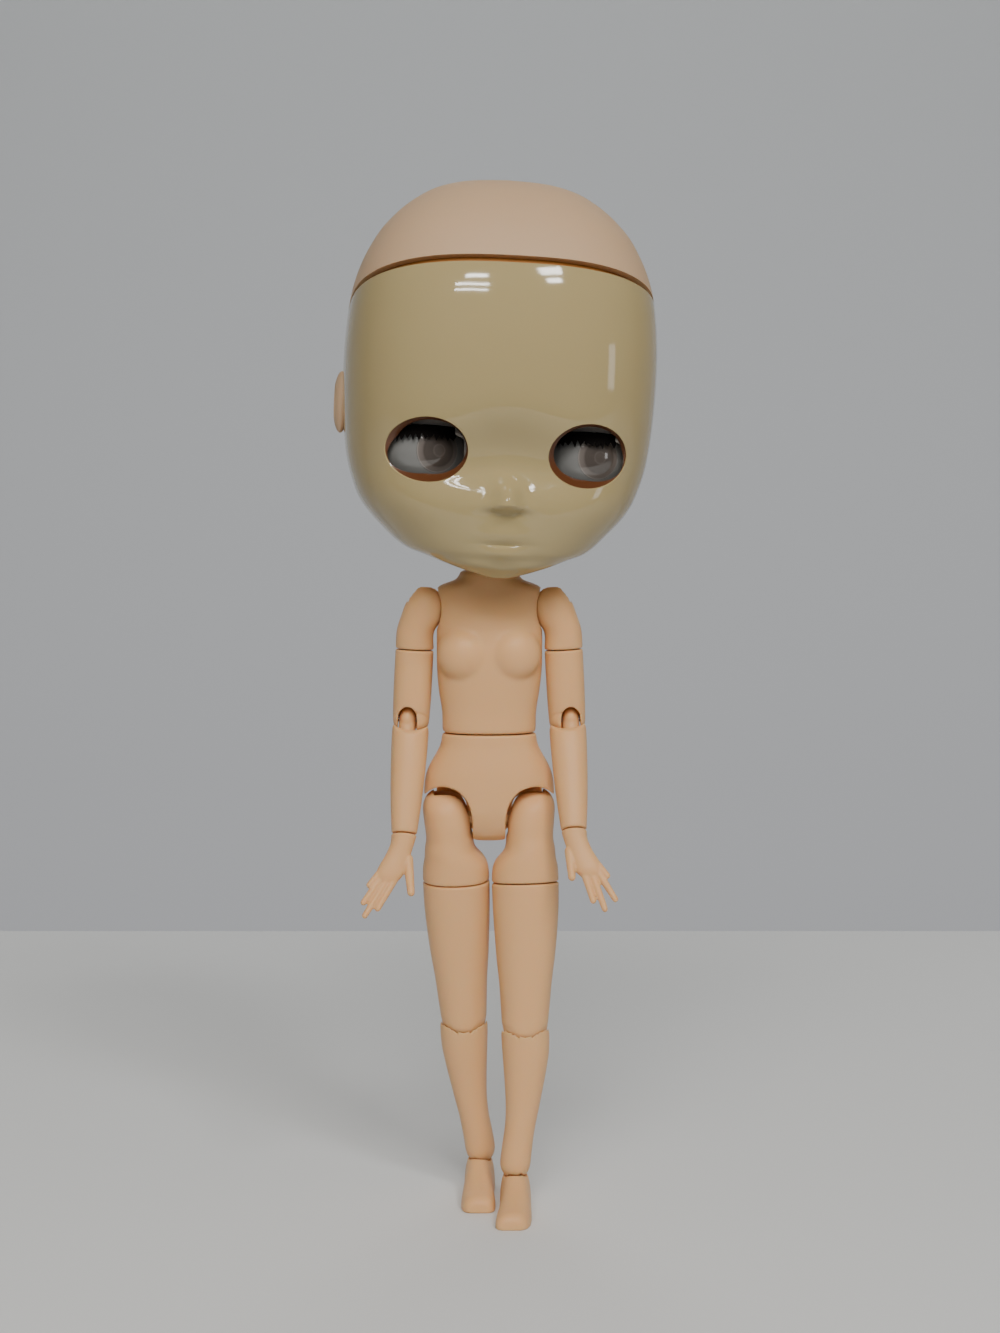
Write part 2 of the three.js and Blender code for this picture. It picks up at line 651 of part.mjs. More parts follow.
// The lower piece has a hollow seat for the ball and a tongue on the pin, with its centre at the origin.
function hingeStart(body, { radius, halfWidth, tongue, pin, lowerNotch }, fold) {
  const seat = ellipsoid([0, 0, 0], [halfWidth + hingeGap, radius + hingeGap, radius + hingeGap]);
  const seated = cut(body, seat, aboveSlope(0, fold * lowerNotch));
  const knuckle = bar([-tongue, 0, 0], [tongue, 0, 0], radius - hingeCheek - gap);
  const stem = block(-tongue, tongue, -radius / 2, radius / 2, -radius - 2 * hingeCheek, 0);
  const hole = pin + seamGap;
  return cut(join(seated, knuckle, stem), bar([-far, 0, 0], [far, 0, 0], hole, hole, smallSides));
}

function hingePin({ halfWidth, pin }, center = [0, 0, 0]) {
  const [x, y, z] = center;
  const reach = halfWidth - hingeCheek;
  return bar([x - reach, y, z], [x + reach, y, z], pin, pin, smallSides);
}

// A limb's head with a slot, open inwards and upwards, for the barrel of its link.
function slottedHead(body, { barrel, length, pin }, reach) {
  const room = barrel + gap;
  const slot = block(-far, room, -length / 2 - gap, length / 2 + gap, -room, far);
  return join(cut(body, slot), bar([0, -reach, 0], [0, reach, 0], pin, pin, smallSides));
}

// The link turns about X in the trunk and carries the limb's barrel. Its flange lies inwards.
function linkBody({ barrel, length, pin, shaft, flange, flangeX, flangeThick }, jointX) {
  const knuckle = bar([0, -length / 2, 0], [0, length / 2, 0], barrel);
  const stem = bar([flangeX - jointX, 0, 0], [0, 0, 0], shaft, shaft, smallSides);
  const disc = bar([flangeX - jointX, 0, 0], [flangeX - jointX + flangeThick, 0, 0], flange);
  const pinHole = bar([0, -far, 0], [0, far, 0], pin + gap, pin + gap, smallSides);
  return cut(join(knuckle, stem, disc), pinHole);
}
function linkRoom({ shaft, flange, flangeX, flangeThick }, side, z) {
  const stem = bar([side * (flangeX - gap), 0, z], [side * far, 0, z], shaft + gap, shaft + gap, smallSides);
  const inner = side * (flangeX - gap);
  const outer = side * (flangeX + flangeThick + gap);
  return join(stem, bar([inner, 0, z], [outer, 0, z], flange + gap));
}

// The waist peg: a stem with a flange in the chest and another in the pelvis.
function waistBody(extra) {
  const { radius, reach, flange, flangeThick } = waistPeg;
  const low = waistZ - reach - extra;
  const high = waistZ + reach + extra;
  const thick = flangeThick + 2 * extra;
  return join(
    bar([0, 0, low], [0, 0, high], radius + extra),
    bar([0, 0, low], [0, 0, low + thick], flange + extra),
    bar([0, 0, high - thick], [0, 0, high], flange + extra),
  );
}

const frontSide = () => block(-far, far, -far, -seamGap / 2, -far, far);
const backSide = () => block(-far, far, seamGap / 2, far, -far, far);

function buildChest(torso) {
  const rows = [
    [0, ...waistSection, 0, 0],
    [0.14, 13.9, 9.3, 8.6, 0, 0],
    [0.27, 14.8, 10, 9.3, 0, 0],
    [0.41, 15.2, 10.7, 10, 0, 0],
    [0.54, 15.2, 10.7, 10.4, 0, 0],
    [0.67, 15.2, 10, 10.2, 0, 0],
    [0.77, 15.4, 9.2, 9.7, 0, 0],
    [0.85, 15.8, 8.5, 9.1, 0, 0],
    [0.9, 15.8, 8.1, 8.7, 0, 0],
    [0.95, 13.4, 7.8, 8.4, 0, 0],
    [0.98, 10.6, 7.7, 8.1, 0, 0],
    [1, 8.4, 7.7, 8, 0, 0],
  ];
  const foot = waistZ + seamGap / 2;
  let chest = loft(foot, collarZ, rows, { around: trunkSides, rings: trunkRings, power: 2.3 });
  for (const side of [-1, 1]) chest = join(chest, ellipsoid([side * bustX, bustY, bustZ], bustRadii));
  const socket = ellipsoid([0, 0, neckPivotZ], [neckBall + gap, neckBall + gap, neckBall + gap], eyeSides);
  const collarFoot = neckRadius + gap;
  const collar = bar([0, 0, neckPivotZ], [0, 0, collarZ + 1], collarFoot, collarFoot + neckNodRoom, eyeSides);
  const hollowZ = (waistZ + waistPeg.reach + shoulderZ - shoulderLink.flange) / 2;
  chest = cut(chest, socket, collar, waistBody(gap), ellipsoid([0, 0, hollowZ], chestHollow, smallSides));
  const capRoom = shoulderSweep + hingeGap;
  for (const side of [-1, 1]) {
    const x = side * shoulderX;
    const hollow = bar([x, -far, shoulderZ], [x, far, shoulderZ], capRoom, capRoom, eyeSides);
    chest = cut(chest, hollow, linkRoom(shoulderLink, side, shoulderZ));
  }
  piece('chest_front', chest.intersect(frontSide()), skin, torso);
  piece('chest_back', chest.intersect(backSide()), skin, torso);
  piece('waist_peg', waistBody(0), innerPlastic, torso);
}

function buildPelvis(pelvis) {
  const rows = [
    [0, 5, 4.6, 6.4, 0, 0],
    [0.06, 9, 7.2, 9, 0, 0],
    [0.25, 19.2, 9.8, 11.8, 0, 0],
    [0.42, 19.5, 10.3, 12, 0, 0],
    [0.6, 18.7, 10.3, 11.4, 0, 0],
    [0.71, 17.4, 10, 10.6, 0, 0],
    [0.81, 15.6, 9.6, 9.6, 0, 0],
    [0.9, 14.3, 9.3, 8.8, 0, 0],
    [1, ...waistSection, 0, 0],
  ];
  const top = waistZ - seamGap / 2;
  let body = loft(crotchZ, top, rows, { around: trunkSides, rings: trunkRings, power: 2.3 });
  const hollowZ = (waistZ - waistPeg.reach + hipZ + hipLink.flange) / 2;
  body = cut(body, waistBody(gap), ellipsoid([0, 0, hollowZ], pelvisHollow, smallSides));
  const arch = new THREE.Shape();
  arch.moveTo(crotchHalfWidth, -far);
  arch.lineTo(crotchHalfWidth, hipZ - 1);
  arch.bezierCurveTo(crotchHalfWidth, hipZ + 7, hipX - legArchInnerX, legArchZ, hipX + 1.4, legArchZ);
  arch.quadraticCurveTo(hipX + 5, legArchZ, hipX + legArchSideX, legArchOuterZ);
  arch.lineTo(far, legArchOuterZ);
  arch.lineTo(far, -far);
  for (const side of [-1, 1]) {
    const opening = new THREE.ExtrudeGeometry(arch, { depth: far, bevelEnabled: false, curveSegments: 7 });
    opening.translate(0, 0, -far / 2);
    opening.rotateX(Math.PI / 2);
    if (side < 0) opening.rotateZ(Math.PI);
    body = cut(body, solid(opening), linkRoom(hipLink, side, hipZ));
  }
  piece('pelvis_front', body.intersect(frontSide()), skin, pelvis);
  piece('pelvis_back', body.intersect(backSide()), skin, pelvis);
}

// A hand hangs from its wrist at the origin with its back to the front and its fingers slanted outwards.
function buildHand(name, hand, fingers, thumb) {
  const flat = (from, to, start, end, depth) => {
    const way = new THREE.Vector3(...to).sub(new THREE.Vector3(...from));
    const length = way.length();
    const turn = new THREE.Quaternion().setFromUnitVectors(new THREE.Vector3(0, 1, 0), way.normalize());
    const cone = new THREE.CylinderGeometry(end, start, length, smallSides).translate(0, length / 2, 0);
    return solid(cone.applyQuaternion(turn).scale(1, depth, 1).translate(...from));
  };
  const finger = ([rootX, rootDrop, tipX, tipDrop], radius) => {
    const root = [rootX, 0, -rootDrop];
    const tip = [tipX, -0.9, -tipDrop];
    return bar(root, tip, radius, radius * 0.6, fingerSides);
  };
  const [wrist] = wristSection;
  const knuckles = [3.4, 0, -palmLength];
  let body = flat([0, 0, 0], [0.5, 0, -palmLength / 2], wrist, wrist - 0.5, 0.94);
  body = join(body, flat([0, 0, -palmLength / 4], knuckles, wrist - 0.4, 3.9, 0.62));
  body = join(body, ellipsoid(knuckles, [3.6, 2.3, 2.4], smallSides), finger(thumb, fingerRadius * 1.4));
  for (const row of fingers) body = join(body, finger(row, fingerRadius));
  const peg = bar([0, 0, -1], [0, 0, wristPeg.length], wristPeg.radius, wristPeg.radius, smallSides);
  piece(`${name}_hand`, join(cut(body, above(-seamGap)), peg), skin, hand);
}

function buildArm(torso, name, side, elbowBend, fingers, thumb) {
  const link = subgroup(`${name}_shoulder_link`, torso, [side * shoulderX, 0, shoulderZ]);
  link.scale.x = side;
  piece(`${name}_shoulder_link`, linkBody(shoulderLink, shoulderX), skin, link);

  const cap = subgroup(`${name}_shoulder_cap`, link, [0, 0, 0], [0, -armSlant, 0]);
  const capBody = loft(-armSeamDrop, shoulderTop, [
    [0, ...armSeamSection, 0, 0],
    [0.28, 5.6, 5.6, 5.6, 0, 0],
    [0.51, 5, 5.6, 5.6, -0.6, 0],
    [0.75, 4.4, 5.2, 5.2, -1.5, 0],
    [0.89, 2.95, 3.9, 3.9, -1.65, 0],
    [0.97, 1.5, 1.8, 1.8, -1.2, 0],
    [1, 0.5, 0.6, 0.6, -1, 0],
  ], { rings: 6 });
  const pegFoot = [0, 0, -armSeamDrop - armPeg.length];
  const peg = bar(pegFoot, [0, 0, 1 - armSeamDrop], armPeg.radius, armPeg.radius, smallSides);
  const reach = armSeamSection[1] - 0.6;
  piece(`${name}_shoulder_cap`, join(slottedHead(capBody, shoulderLink, reach), peg), skin, cap);

  // Upper arm and forearm share the elbow hinge, which folds to the front.
  const arm = subgroup(`${name}_upper_arm`, cap, [0, 0, 0]);
  const elbow = subgroup(`${name}_elbow`, arm, [0, 0, -upperArmLength]);
  const upperTop = upperArmLength - armSeamDrop - seamGap;
  const upper = loft(-elbowHinge.radius, upperTop, [
    [0, 5, 4.9, 4.9, 0, 0],
    [0.25, 5.4, 5.2, 5.2, 0, 0],
    [0.55, 5.8, 5.5, 5.5, 0, 0],
    [1, ...armSeamSection, 0, 0],
  ]);
  const roomRadius = armPeg.radius + gap;
  const roomFoot = upperTop - armPeg.length - gap;
  const pegRoom = bar([0, 0, roomFoot], [0, 0, far], roomRadius, roomRadius, smallSides);
  const lower = loft(-forearmLength, 0, [
    [0, ...wristSection, 0, 0],
    [0.3, 4.6, 4.3, 4.3, 0, 0],
    [0.6, 5.3, 5, 5, 0, 0],
    [0.85, 5.5, 5.3, 5.3, 0, 0],
    [1, 5.3, 5.2, 5.2, 0, 0],
  ]);
  const wristRoom = wristPeg.radius + gap;
  const boreTop = wristPeg.length + gap - forearmLength;
  const wristBore = bar([0, 0, -far], [0, 0, boreTop], wristRoom, wristRoom, smallSides);
  piece(`${name}_upper_arm`, hingeEnd(cut(upper, pegRoom), elbowHinge, -1), skin, elbow);
  piece(`${name}_elbow_pin`, hingePin(elbowHinge), steel, elbow);
  const forearm = subgroup(`${name}_forearm`, elbow, [0, 0, 0], [elbowBend, 0, 0]);
  piece(`${name}_forearm`, hingeStart(cut(lower, wristBore), elbowHinge, -1), skin, forearm);
  buildHand(name, subgroup(`${name}_hand`, forearm, [0, 0, -forearmLength]), fingers, thumb);
}

// A foot with a flat sole, its ankle at the origin and the floor below it.
function footBody(ankleHeight) {
  const length = footHeel + footToe;
  const rows = [
    [0, 2.4, 1, 4.6, 0, 0],
    [0.08, 4, 1, 9.4, 0, 0],
    [0.26, 4.6, 1, ankleHeight - 0.4, 0.2, 0],
    [0.42, 4.7, 1, ankleHeight * 0.78, 0.4, 0],
    [0.62, 5.1, 1, ankleHeight * 0.5, 0.6, 0],
    [0.82, footHalfWidth, 1, toeHeight, 0.6, 0],
    [0.95, 4.9, 1, toeHeight * 0.85, 0.5, 0],
    [1, 3.4, 1, toeHeight * 0.6, 0.4, 0],
  ];
  const shape = loftGeometry(0, length, rows, { rings: 7, power: 2.6, eased: true });
  shape.rotateX(Math.PI / 2).translate(0, footHeel, -ankleHeight);
  return solid(shape).intersect(above(-ankleHeight));
}

function buildLeg(pelvis, name, side, swing) {
  const link = subgroup(`${name}_hip_link`, pelvis, [side * hipX, 0, hipZ], [swing, 0, 0]);
  const linkSide = subgroup('', link, [0, 0, 0]);
  linkSide.scale.x = side;
  piece(`${name}_hip_link`, linkBody(hipLink, hipX), skin, linkSide);

  const leaning = subgroup(`${name}_upper_thigh`, link, [0, 0, 0], [0, legLean, 0]);
  const upper = subgroup('', leaning, [0, 0, 0]);
  upper.scale.x = side;
  const seamX = thighX - hipX;
  const seamZ = thighSeamZ - hipZ;
  const upperBody = loft(seamZ, legArchZ - hipZ - 1.3, [
    [0, ...thighSeamSection, seamX, 0],
    [0.16, 9.6, 9.5, 9.8, seamX + 0.1, 0],
    [0.25, 8.8, 9.5, 9.8, -1.4, 0],
    [0.35, 7.5, 9.4, 9.7, -0.3, 0],
    [0.47, 6.95, 9.1, 9.4, -0.2, 0],
    [0.66, 6.55, 8.7, 8.9, -0.35, 0],
    [0.82, 5.5, 7.3, 7.4, -0.5, 0],
    [0.93, 3.7, 4.9, 4.9, -0.45, 0],
    [1, 1, 1.4, 1.4, -0.4, 0],
  ], { rings: 7 });
  const peg = bar([seamX, 0, seamZ - thighPeg.length], [seamX, 0, seamZ + 1], thighPeg.radius);
  const reach = thighSeamSection[1] - 1.5;
  piece(`${name}_upper_thigh`, join(slottedHead(upperBody, hipLink, reach), peg), skin, upper);

  // Thigh and calf share the knee hinge, which folds to the back.
  const thigh = subgroup(`${name}_thigh`, upper, [seamX, 0, seamZ]);
  const knee = subgroup(`${name}_knee`, thigh, [kneeX - thighX, 0, kneeZ - thighSeamZ]);
  const thighTop = thighSeamZ - kneeZ - seamGap;
  const topX = thighX - kneeX;
  const thighBody = loft(-kneeHinge.radius, thighTop, [
    [0, 6.4, 6.6, 6.2, 0, 0],
    [0.14, 6.8, 6.8, 6.4, 0, 0],
    [0.27, 7.3, 7.2, 6.9, topX * 0.2, 0],
    [0.4, 7.8, 7.6, 7.4, topX * 0.4, 0],
    [0.54, 8.6, 8, 7.9, topX * 0.6, 0],
    [0.68, 9.2, 8.5, 8.5, topX * 0.8, 0],
    [0.84, 9.7, 9, 9.1, topX * 0.95, 0],
    [1, ...thighSeamSection, topX, 0],
  ], { rings: 6 });
  const pegRoom = thighPeg.radius + gap;
  const bore = bar([topX, 0, thighTop + seamGap - thighPeg.length - gap], [topX, 0, far], pegRoom);
  const ankleShift = ankleX - kneeX;
  const ankleDrop = ankleZ - kneeZ;
  const calfBody = loft(ankleDrop - ankleHinge.radius, 0, [
    [0, 4.3, 4.2, 4.2, ankleShift, 0],
    [0.09, 4.7, 4.5, 4.5, ankleShift, 0],
    [0.25, 6, 5.1, 5.4, ankleShift * 0.76, 0],
    [0.4, 6.9, 5.8, 6.5, ankleShift * 0.54, 0],
    [0.58, 7.3, 6.4, 7.5, ankleShift * 0.34, 0],
    [0.75, 7.2, 6.8, 7.4, ankleShift * 0.18, 0],
    [0.9, 6.9, 7, 6.9, 0, 0],
    [1, 6.8, 7, 6.6, 0, 0],
  ], { rings: 7 });
  piece(`${name}_thigh`, hingeEnd(cut(thighBody, bore), kneeHinge, 1), skin, knee);
  piece(`${name}_knee_pin`, hingePin(kneeHinge), steel, knee);
  const calf = subgroup(`${name}_calf`, knee, [0, 0, 0]);
  const ankle = [ankleShift, 0, ankleDrop];
  const calfEnd = hingeEnd(calfBody, ankleHinge, 1, ankle);
  piece(`${name}_calf`, hingeStart(calfEnd, kneeHinge, 1), skin, calf);
  piece(`${name}_ankle_pin`, hingePin(ankleHinge, ankle), steel, calf);
  const foot = subgroup(`${name}_foot`, calf, ankle);
  foot.rotation.set(degrees(-swing), degrees(-legLean * side), 0, 'YXZ');
  return foot;
}

const doll = new THREE.Group();
const pelvis = subgroup('pelvis', doll, [0, 0, 0]);
const torso = subgroup('torso', pelvis, [0, 0, 0]);
buildPelvis(pelvis);
buildChest(torso);
buildNeck(torso);
buildArm(torso, 'left', 1, leftElbowBend, leftFingers, leftThumb);
buildArm(torso, 'right', -1, rightElbowBend, rightFingers, rightThumb);
const feet = {
  left: buildLeg(pelvis, 'left', 1, leftLegSwing),
  right: buildLeg(pelvis, 'right', -1, rightLegSwing),
};

// Both soles lie in one plane, although the legs stand at slightly different angles.
doll.updateMatrixWorld(true);
const ankleHeights = Object.values(feet).map((foot) => foot.getWorldPosition(new THREE.Vector3()).z);
const floorZ = Math.min(...ankleHeights) - ankleZ;
Object.entries(feet).forEach(([name, foot], index) => {
  const body = footBody(ankleHeights[index] - floorZ);
  piece(`${name}_foot`, hingeStart(body, ankleHinge, 1), skin, foot);
});

// The doll's origin is on the floor, under the middle of its outline.
doll.updateMatrixWorld(true);
const bounds = new THREE.Box3().setFromObject(doll, true);
const middle = bounds.getCenter(new THREE.Vector3());
doll.position.set(-middle.x, -middle.y, -bounds.min.z);

export default doll;
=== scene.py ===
import json
import math

import bpy
import numpy as np
from mathutils import Matrix, Vector


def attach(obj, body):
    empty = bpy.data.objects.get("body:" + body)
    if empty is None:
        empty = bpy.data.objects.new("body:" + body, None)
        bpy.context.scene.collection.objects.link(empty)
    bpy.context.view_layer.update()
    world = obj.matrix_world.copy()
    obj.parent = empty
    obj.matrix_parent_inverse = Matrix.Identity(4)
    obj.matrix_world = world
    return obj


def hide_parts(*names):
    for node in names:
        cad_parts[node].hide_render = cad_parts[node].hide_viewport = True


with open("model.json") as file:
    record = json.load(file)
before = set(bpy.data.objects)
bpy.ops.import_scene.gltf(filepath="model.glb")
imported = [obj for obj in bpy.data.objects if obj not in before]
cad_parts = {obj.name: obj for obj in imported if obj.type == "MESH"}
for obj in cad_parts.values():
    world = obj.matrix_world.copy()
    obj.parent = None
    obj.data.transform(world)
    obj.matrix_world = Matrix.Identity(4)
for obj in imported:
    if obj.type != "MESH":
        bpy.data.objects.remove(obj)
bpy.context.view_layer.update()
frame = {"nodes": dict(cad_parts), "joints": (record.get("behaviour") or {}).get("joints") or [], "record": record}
joints = {joint["name"]: joint for joint in frame["joints"]}
mm = 0.001
far = 400
print("frame loaded with", len(frame["nodes"]), "nodes")


# Camera

cameraView = {
    "imageSize": (1000, 1333),
    "focalPixels": 2390,
    "place": (1.9, -700, 214),  # mm, seen from just above the chest
    "pitchDown": 4.5,
}


def makeCamera(view):
    data = bpy.data.cameras.new("photoCamera")
    data.sensor_width = 36
    data.lens = data.sensor_width * view["focalPixels"] / max(view["imageSize"])
    camera = bpy.data.objects.new("photoCamera", data)
    camera.location = Vector(view["place"]) * mm
    camera.rotation_euler = (math.radians(90 - view["pitchDown"]), 0, 0)
    bpy.context.scene.collection.objects.link(camera)
    bpy.context.scene.camera = camera


makeCamera(cameraView)
print("camera placed")


# Materials

def linearColour(code):
    parts = [int(code[start:start + 2], 16) / 255 for start in (1, 3, 5)]
    return tuple(p / 12.92 if p <= 0.04045 else ((p + 0.055) / 1.055) ** 2.4 for p in parts) + (1,)


def addNode(tree, kind, settings=None, inputs=None, links=None):
    node = tree.nodes.new(kind)
    for name, value in (settings or {}).items():
        setattr(node, name, value)
    for name, value in (inputs or {}).items():
        node.inputs[name].default_value = value
    for name, source in (links or {}).items():
        tree.links.new(source, node.inputs[name])
    return node


def newMaterial(name, colour, inputs):
    material = bpy.data.materials.new(name)
    material.use_nodes = True
    shader = material.node_tree.nodes["Principled BSDF"]
    shader.inputs["Base Color"].default_value = linearColour(colour)
    for socket, value in inputs.items():
        shader.inputs[socket].default_value = value
    return material


def addGrain(material, grainMm, depthMm, strength):
    # fine moulded texture, drawn as coarse as it needs to show
    tree = material.node_tree
    shader = tree.nodes["Principled BSDF"]
    place = addNode(tree, "ShaderNodeTexCoord")
    grain = addNode(tree, "ShaderNodeTexNoise", None,
                    {"Scale": 1 / (grainMm * mm), "Detail": 2, "Roughness": 0.5},
                    {"Vector": place.outputs["Object"]})
    bump = addNode(tree, "ShaderNodeBump", None,
                   {"Distance": depthMm * mm, "Strength": strength}, {"Height": grain.outputs["Fac"]})
    tree.links.new(bump.outputs["Normal"], shader.inputs["Normal"])


def bodyVinylMaterial():
    # soft vinyl, moulded with a satin skin: warm light bleeds through its thin edges
    material = newMaterial("moulded satin vinyl", "#d9a976", {
        "Roughness": 0.46,
        "IOR": 1.52,
        "Subsurface Weight": 0.4,
        "Subsurface Radius": (1, 0.45, 0.2),
        "Subsurface Scale": 3 * mm,
    })
    addGrain(material, 0.9, 0.02, 0.25)
    return material


def faceAbsMaterial():
    # ABS from a polished mould, which mirrors the lamps
    return newMaterial("polished cream ABS", "#a49369", {
        "Roughness": 0.07,
        "IOR": 1.54,
        "Subsurface Weight": 0.1,
        "Subsurface Radius": (1, 0.5, 0.25),
        "Subsurface Scale": 2 * mm,
    })


def scalpMaterial():
    # the dome and the back of the head come from a spark-eroded mould: an even, dull skin
    material = newMaterial("fine matte ABS", "#be9f7e", {
        "Roughness": 0.55,
        "IOR": 1.54,
        "Subsurface Weight": 0.15,
        "Subsurface Radius": (1, 0.5, 0.25),
        "Subsurface Scale": 3 * mm,
    })
    addGrain(material, 0.7, 0.02, 0.2)
    return material


def discMaterial():
    # a clear moulded lens over grey print: its rings are painted in, as darker and lighter bands that stand in for
    # the shade and light of the lens's depth, and the front mirrors the room
    material = newMaterial("clear acrylic over grey print with painted ring shade", "#6f655f", {
        "Roughness": 0.12, "IOR": 1.49, "Coat Weight": 1, "Coat Roughness": 0.03,
    })
    tree = material.node_tree
    away = addNode(tree, "ShaderNodeAttribute", {"attribute_name": "fromAxis"})
    rings = addNode(tree, "ShaderNodeValToRGB", None, None, {"Fac": away.outputs["Fac"]})
    # painted shade and light: the stops paint the rings of the lens's depth over the grey print, with a painted
    # lighter edge
    stops = [(0, "#49423d"), (0.22, "#4b443f"), (0.27, "#544d48"), (0.33, "#47403b"), (0.7, "#49423d"),
             (0.78, "#625a55"), (0.93, "#6c6560"), (0.98, "#857f7a"), (1, "#7b7773")]
    ramp = rings.color_ramp.elements
    while len(ramp) < len(stops):
        ramp.new(0.5)
    for element, (place, colour) in zip(ramp, stops):
        element.position = place
        element.color = linearColour(colour)
    tree.links.new(rings.outputs["Color"], tree.nodes["Principled BSDF"].inputs["Base Color"])
    return material


materials = {
    "body_plastic": bodyVinylMaterial(),
    "face_plastic": faceAbsMaterial(),
    "scalp_plastic": scalpMaterial(),
    "eye_white": newMaterial("gloss white polystyrene", "#757573", {"Roughness": 0.2, "IOR": 1.55}),
    "eye_disc": discMaterial(),
    "lid_paint": newMaterial("painted lid plastic", "#efe6dc", {"Roughness": 0.4, "IOR": 1.5}),
    "lash_fibre": newMaterial("black nylon fibre", "#0d0a09", {"Roughness": 0.8, "IOR": 1.2}),
    "inner_plastic": newMaterial("unpainted polystyrene", "#d9d4c8", {"Roughness": 0.45, "IOR": 1.55}),
    # lip: painted glow and shade, amber, on the dome's inner lip
    "lip": newMaterial("painted amber glow on the inner lip", "#b07438", {"Roughness": 0.5, "IOR": 1.54}),
    # rim: painted shade with a warm glow, brown, on the walls of the eye openings, where the real plastic is the
    # cream face plastic lying in shade
    "rim": newMaterial("painted warm shade in the eye openings", "#5a341c", {"Roughness": 0.3, "IOR": 1.54}),
    "steel": newMaterial("plain drawn steel", "#b6b8ba", {"Roughness": 0.35, "Metallic": 1}),
}
slotOf = {part["node"]: part["material_slot"] for part in frame["record"]["subparts"]}
for node, shown in frame["nodes"].items():
    shown.data.materials.clear()
    shown.data.materials.append(materials[slotOf[node]])
print("materials made")


# Shapes, in millimetres in a piece's own frame until it is placed

def between(rows, share):
    low = 0
    while low < len(rows) - 2 and share > rows[low + 1][0]:
        low += 1
    before, start, end, after = [rows[min(max(low + step, 0), len(rows) - 1)] for step in (-1, 0, 1, 2)]
    span = end[0] - start[0]
    t = (share - start[0]) / span
    values = []
    for column, value in enumerate(start):
        slopeStart = (end[column] - before[column]) / (end[0] - before[0]) * span
        slopeEnd = (after[column] - value) / (after[0] - start[0]) * span
        values.append((2 * t**3 - 3 * t**2 + 1) * value + (t**3 - 2 * t**2 + t) * slopeStart
                      + (3 * t**2 - 2 * t**3) * end[column] + (t**3 - t**2) * slopeEnd)
    return values


def newSphere(name, around, rings):
    bpy.ops.object.select_all(action="DESELECT")
    bpy.ops.mesh.primitive_uv_sphere_add(segments=around, ring_count=rings, radius=1)
    shape = bpy.context.object
    shape.name = name
    return shape


def readPoints(shape):
    points = np.empty(len(shape.data.vertices) * 3)
    shape.data.vertices.foreach_get("co", points)
    return points.reshape(-1, 3)


def writePoints(shape, points):
    shape.data.vertices.foreach_set("co", np.asarray(points, dtype=float).ravel())
    shape.data.update()
    return shape


def loft(name, bottom, top, rows, power=2.2, around=56, rings=56, edge=0.4, eased=False, gather=0):
    # rows: share of the height, half width, front reach, back reach, x, y
    stations = [(bottom + edge * (1 - math.cos(a)), edge * (1 - math.sin(a))) for a in np.linspace(0, 1.2, 4)]
    for step in range(1, rings):
        even = step / rings
        share = (1 - math.cos(even * math.pi)) / 2 if eased else even
        stations.append((bottom + edge + (top - bottom - 2 * edge) * share, 0))
    stations += [(top - edge * (1 - math.cos(a)), edge * (1 - math.sin(a))) for a in np.linspace(1.2, 0, 4)]
    shape = newSphere(name, around, len(stations) + 1)
    points = readPoints(shape)
    ring = np.rint(np.arccos(np.clip(-points[:, 2], -1, 1)) / math.pi * (len(stations) + 1)).astype(int)
    angle = np.arctan2(points[:, 1], points[:, 0])
    angle = angle - gather * np.sin(angle + math.pi / 2)
    across = np.sign(np.cos(angle)) * np.abs(np.cos(angle)) ** (2 / power)
    along = np.sign(np.sin(angle)) * np.abs(np.sin(angle)) ** (2 / power)
    made = np.empty_like(points)
    for index in range(len(stations) + 2):
        z, inset = stations[min(max(index - 1, 0), len(stations) - 1)]
        _, half, front, back, x, y = between(rows, (z - bottom) / (top - bottom))
        here = ring == index
        reach = 0 if index in (0, len(stations) + 1) else 1
        depth = np.where(along[here] < 0, max(front - inset, 0.05), max(back - inset, 0.05))
        made[here] = np.column_stack([x + reach * across[here] * max(half - inset, 0.05),
                                      y + reach * along[here] * depth, np.full(here.sum(), z)])
    return writePoints(shape, made)


def ball(center, radii, around=40):
    shape = newSphere("ball", around, around // 2)
    return writePoints(shape, readPoints(shape) * np.array(radii) + np.array(center))


def rod(start, end, startRadius, endRadius=None, around=32):
    way = Vector(end) - Vector(start)
    bpy.ops.object.select_all(action="DESELECT")
    bpy.ops.mesh.primitive_cone_add(vertices=around, depth=way.length, radius1=startRadius,
                                    radius2=startRadius if endRadius is None else endRadius)
    shape = bpy.context.object
    turn = Vector((0, 0, 1)).rotation_difference(way).to_matrix().to_4x4()
    shape.data.transform(Matrix.Translation((Vector(start) + Vector(end)) / 2) @ turn)
    return shape


def block(low, high):
    bpy.ops.object.select_all(action="DESELECT")
    bpy.ops.mesh.primitive_cube_add(size=1)
    shape = bpy.context.object
    low, high = Vector(low), Vector(high)
    shape.data.transform(Matrix.Translation((low + high) / 2) @ Matrix.Diagonal((*(high - low), 1)))
    return shape


def aboveSlope(z, slope):
    shape = block((-far, -far, 0), (far, far, far))
    shape.data.transform(Matrix.Translation((0, 0, z)) @ Matrix.Rotation(math.radians(-slope), 4, "X"))
    return shape


def outlineSlab(outline, yFrom, yTo):
    # an outline in X and Z, drawn out along Y
    bpy.ops.object.select_all(action="DESELECT")
    bpy.ops.mesh.primitive_circle_add(vertices=len(outline), fill_type="NGON")
    shape = bpy.context.object
    writePoints(shape, [(x, yFrom, z) for x, z in outline])
    bpy.ops.object.mode_set(mode="EDIT")
    bpy.ops.mesh.select_all(action="SELECT")
    bpy.ops.mesh.extrude_region_move(TRANSFORM_OT_translate={"value": (0, yTo - yFrom, 0)})
    bpy.ops.mesh.select_all(action="SELECT")
    bpy.ops.mesh.normals_make_consistent(inside=False)
    bpy.ops.object.mode_set(mode="OBJECT")
    return shape


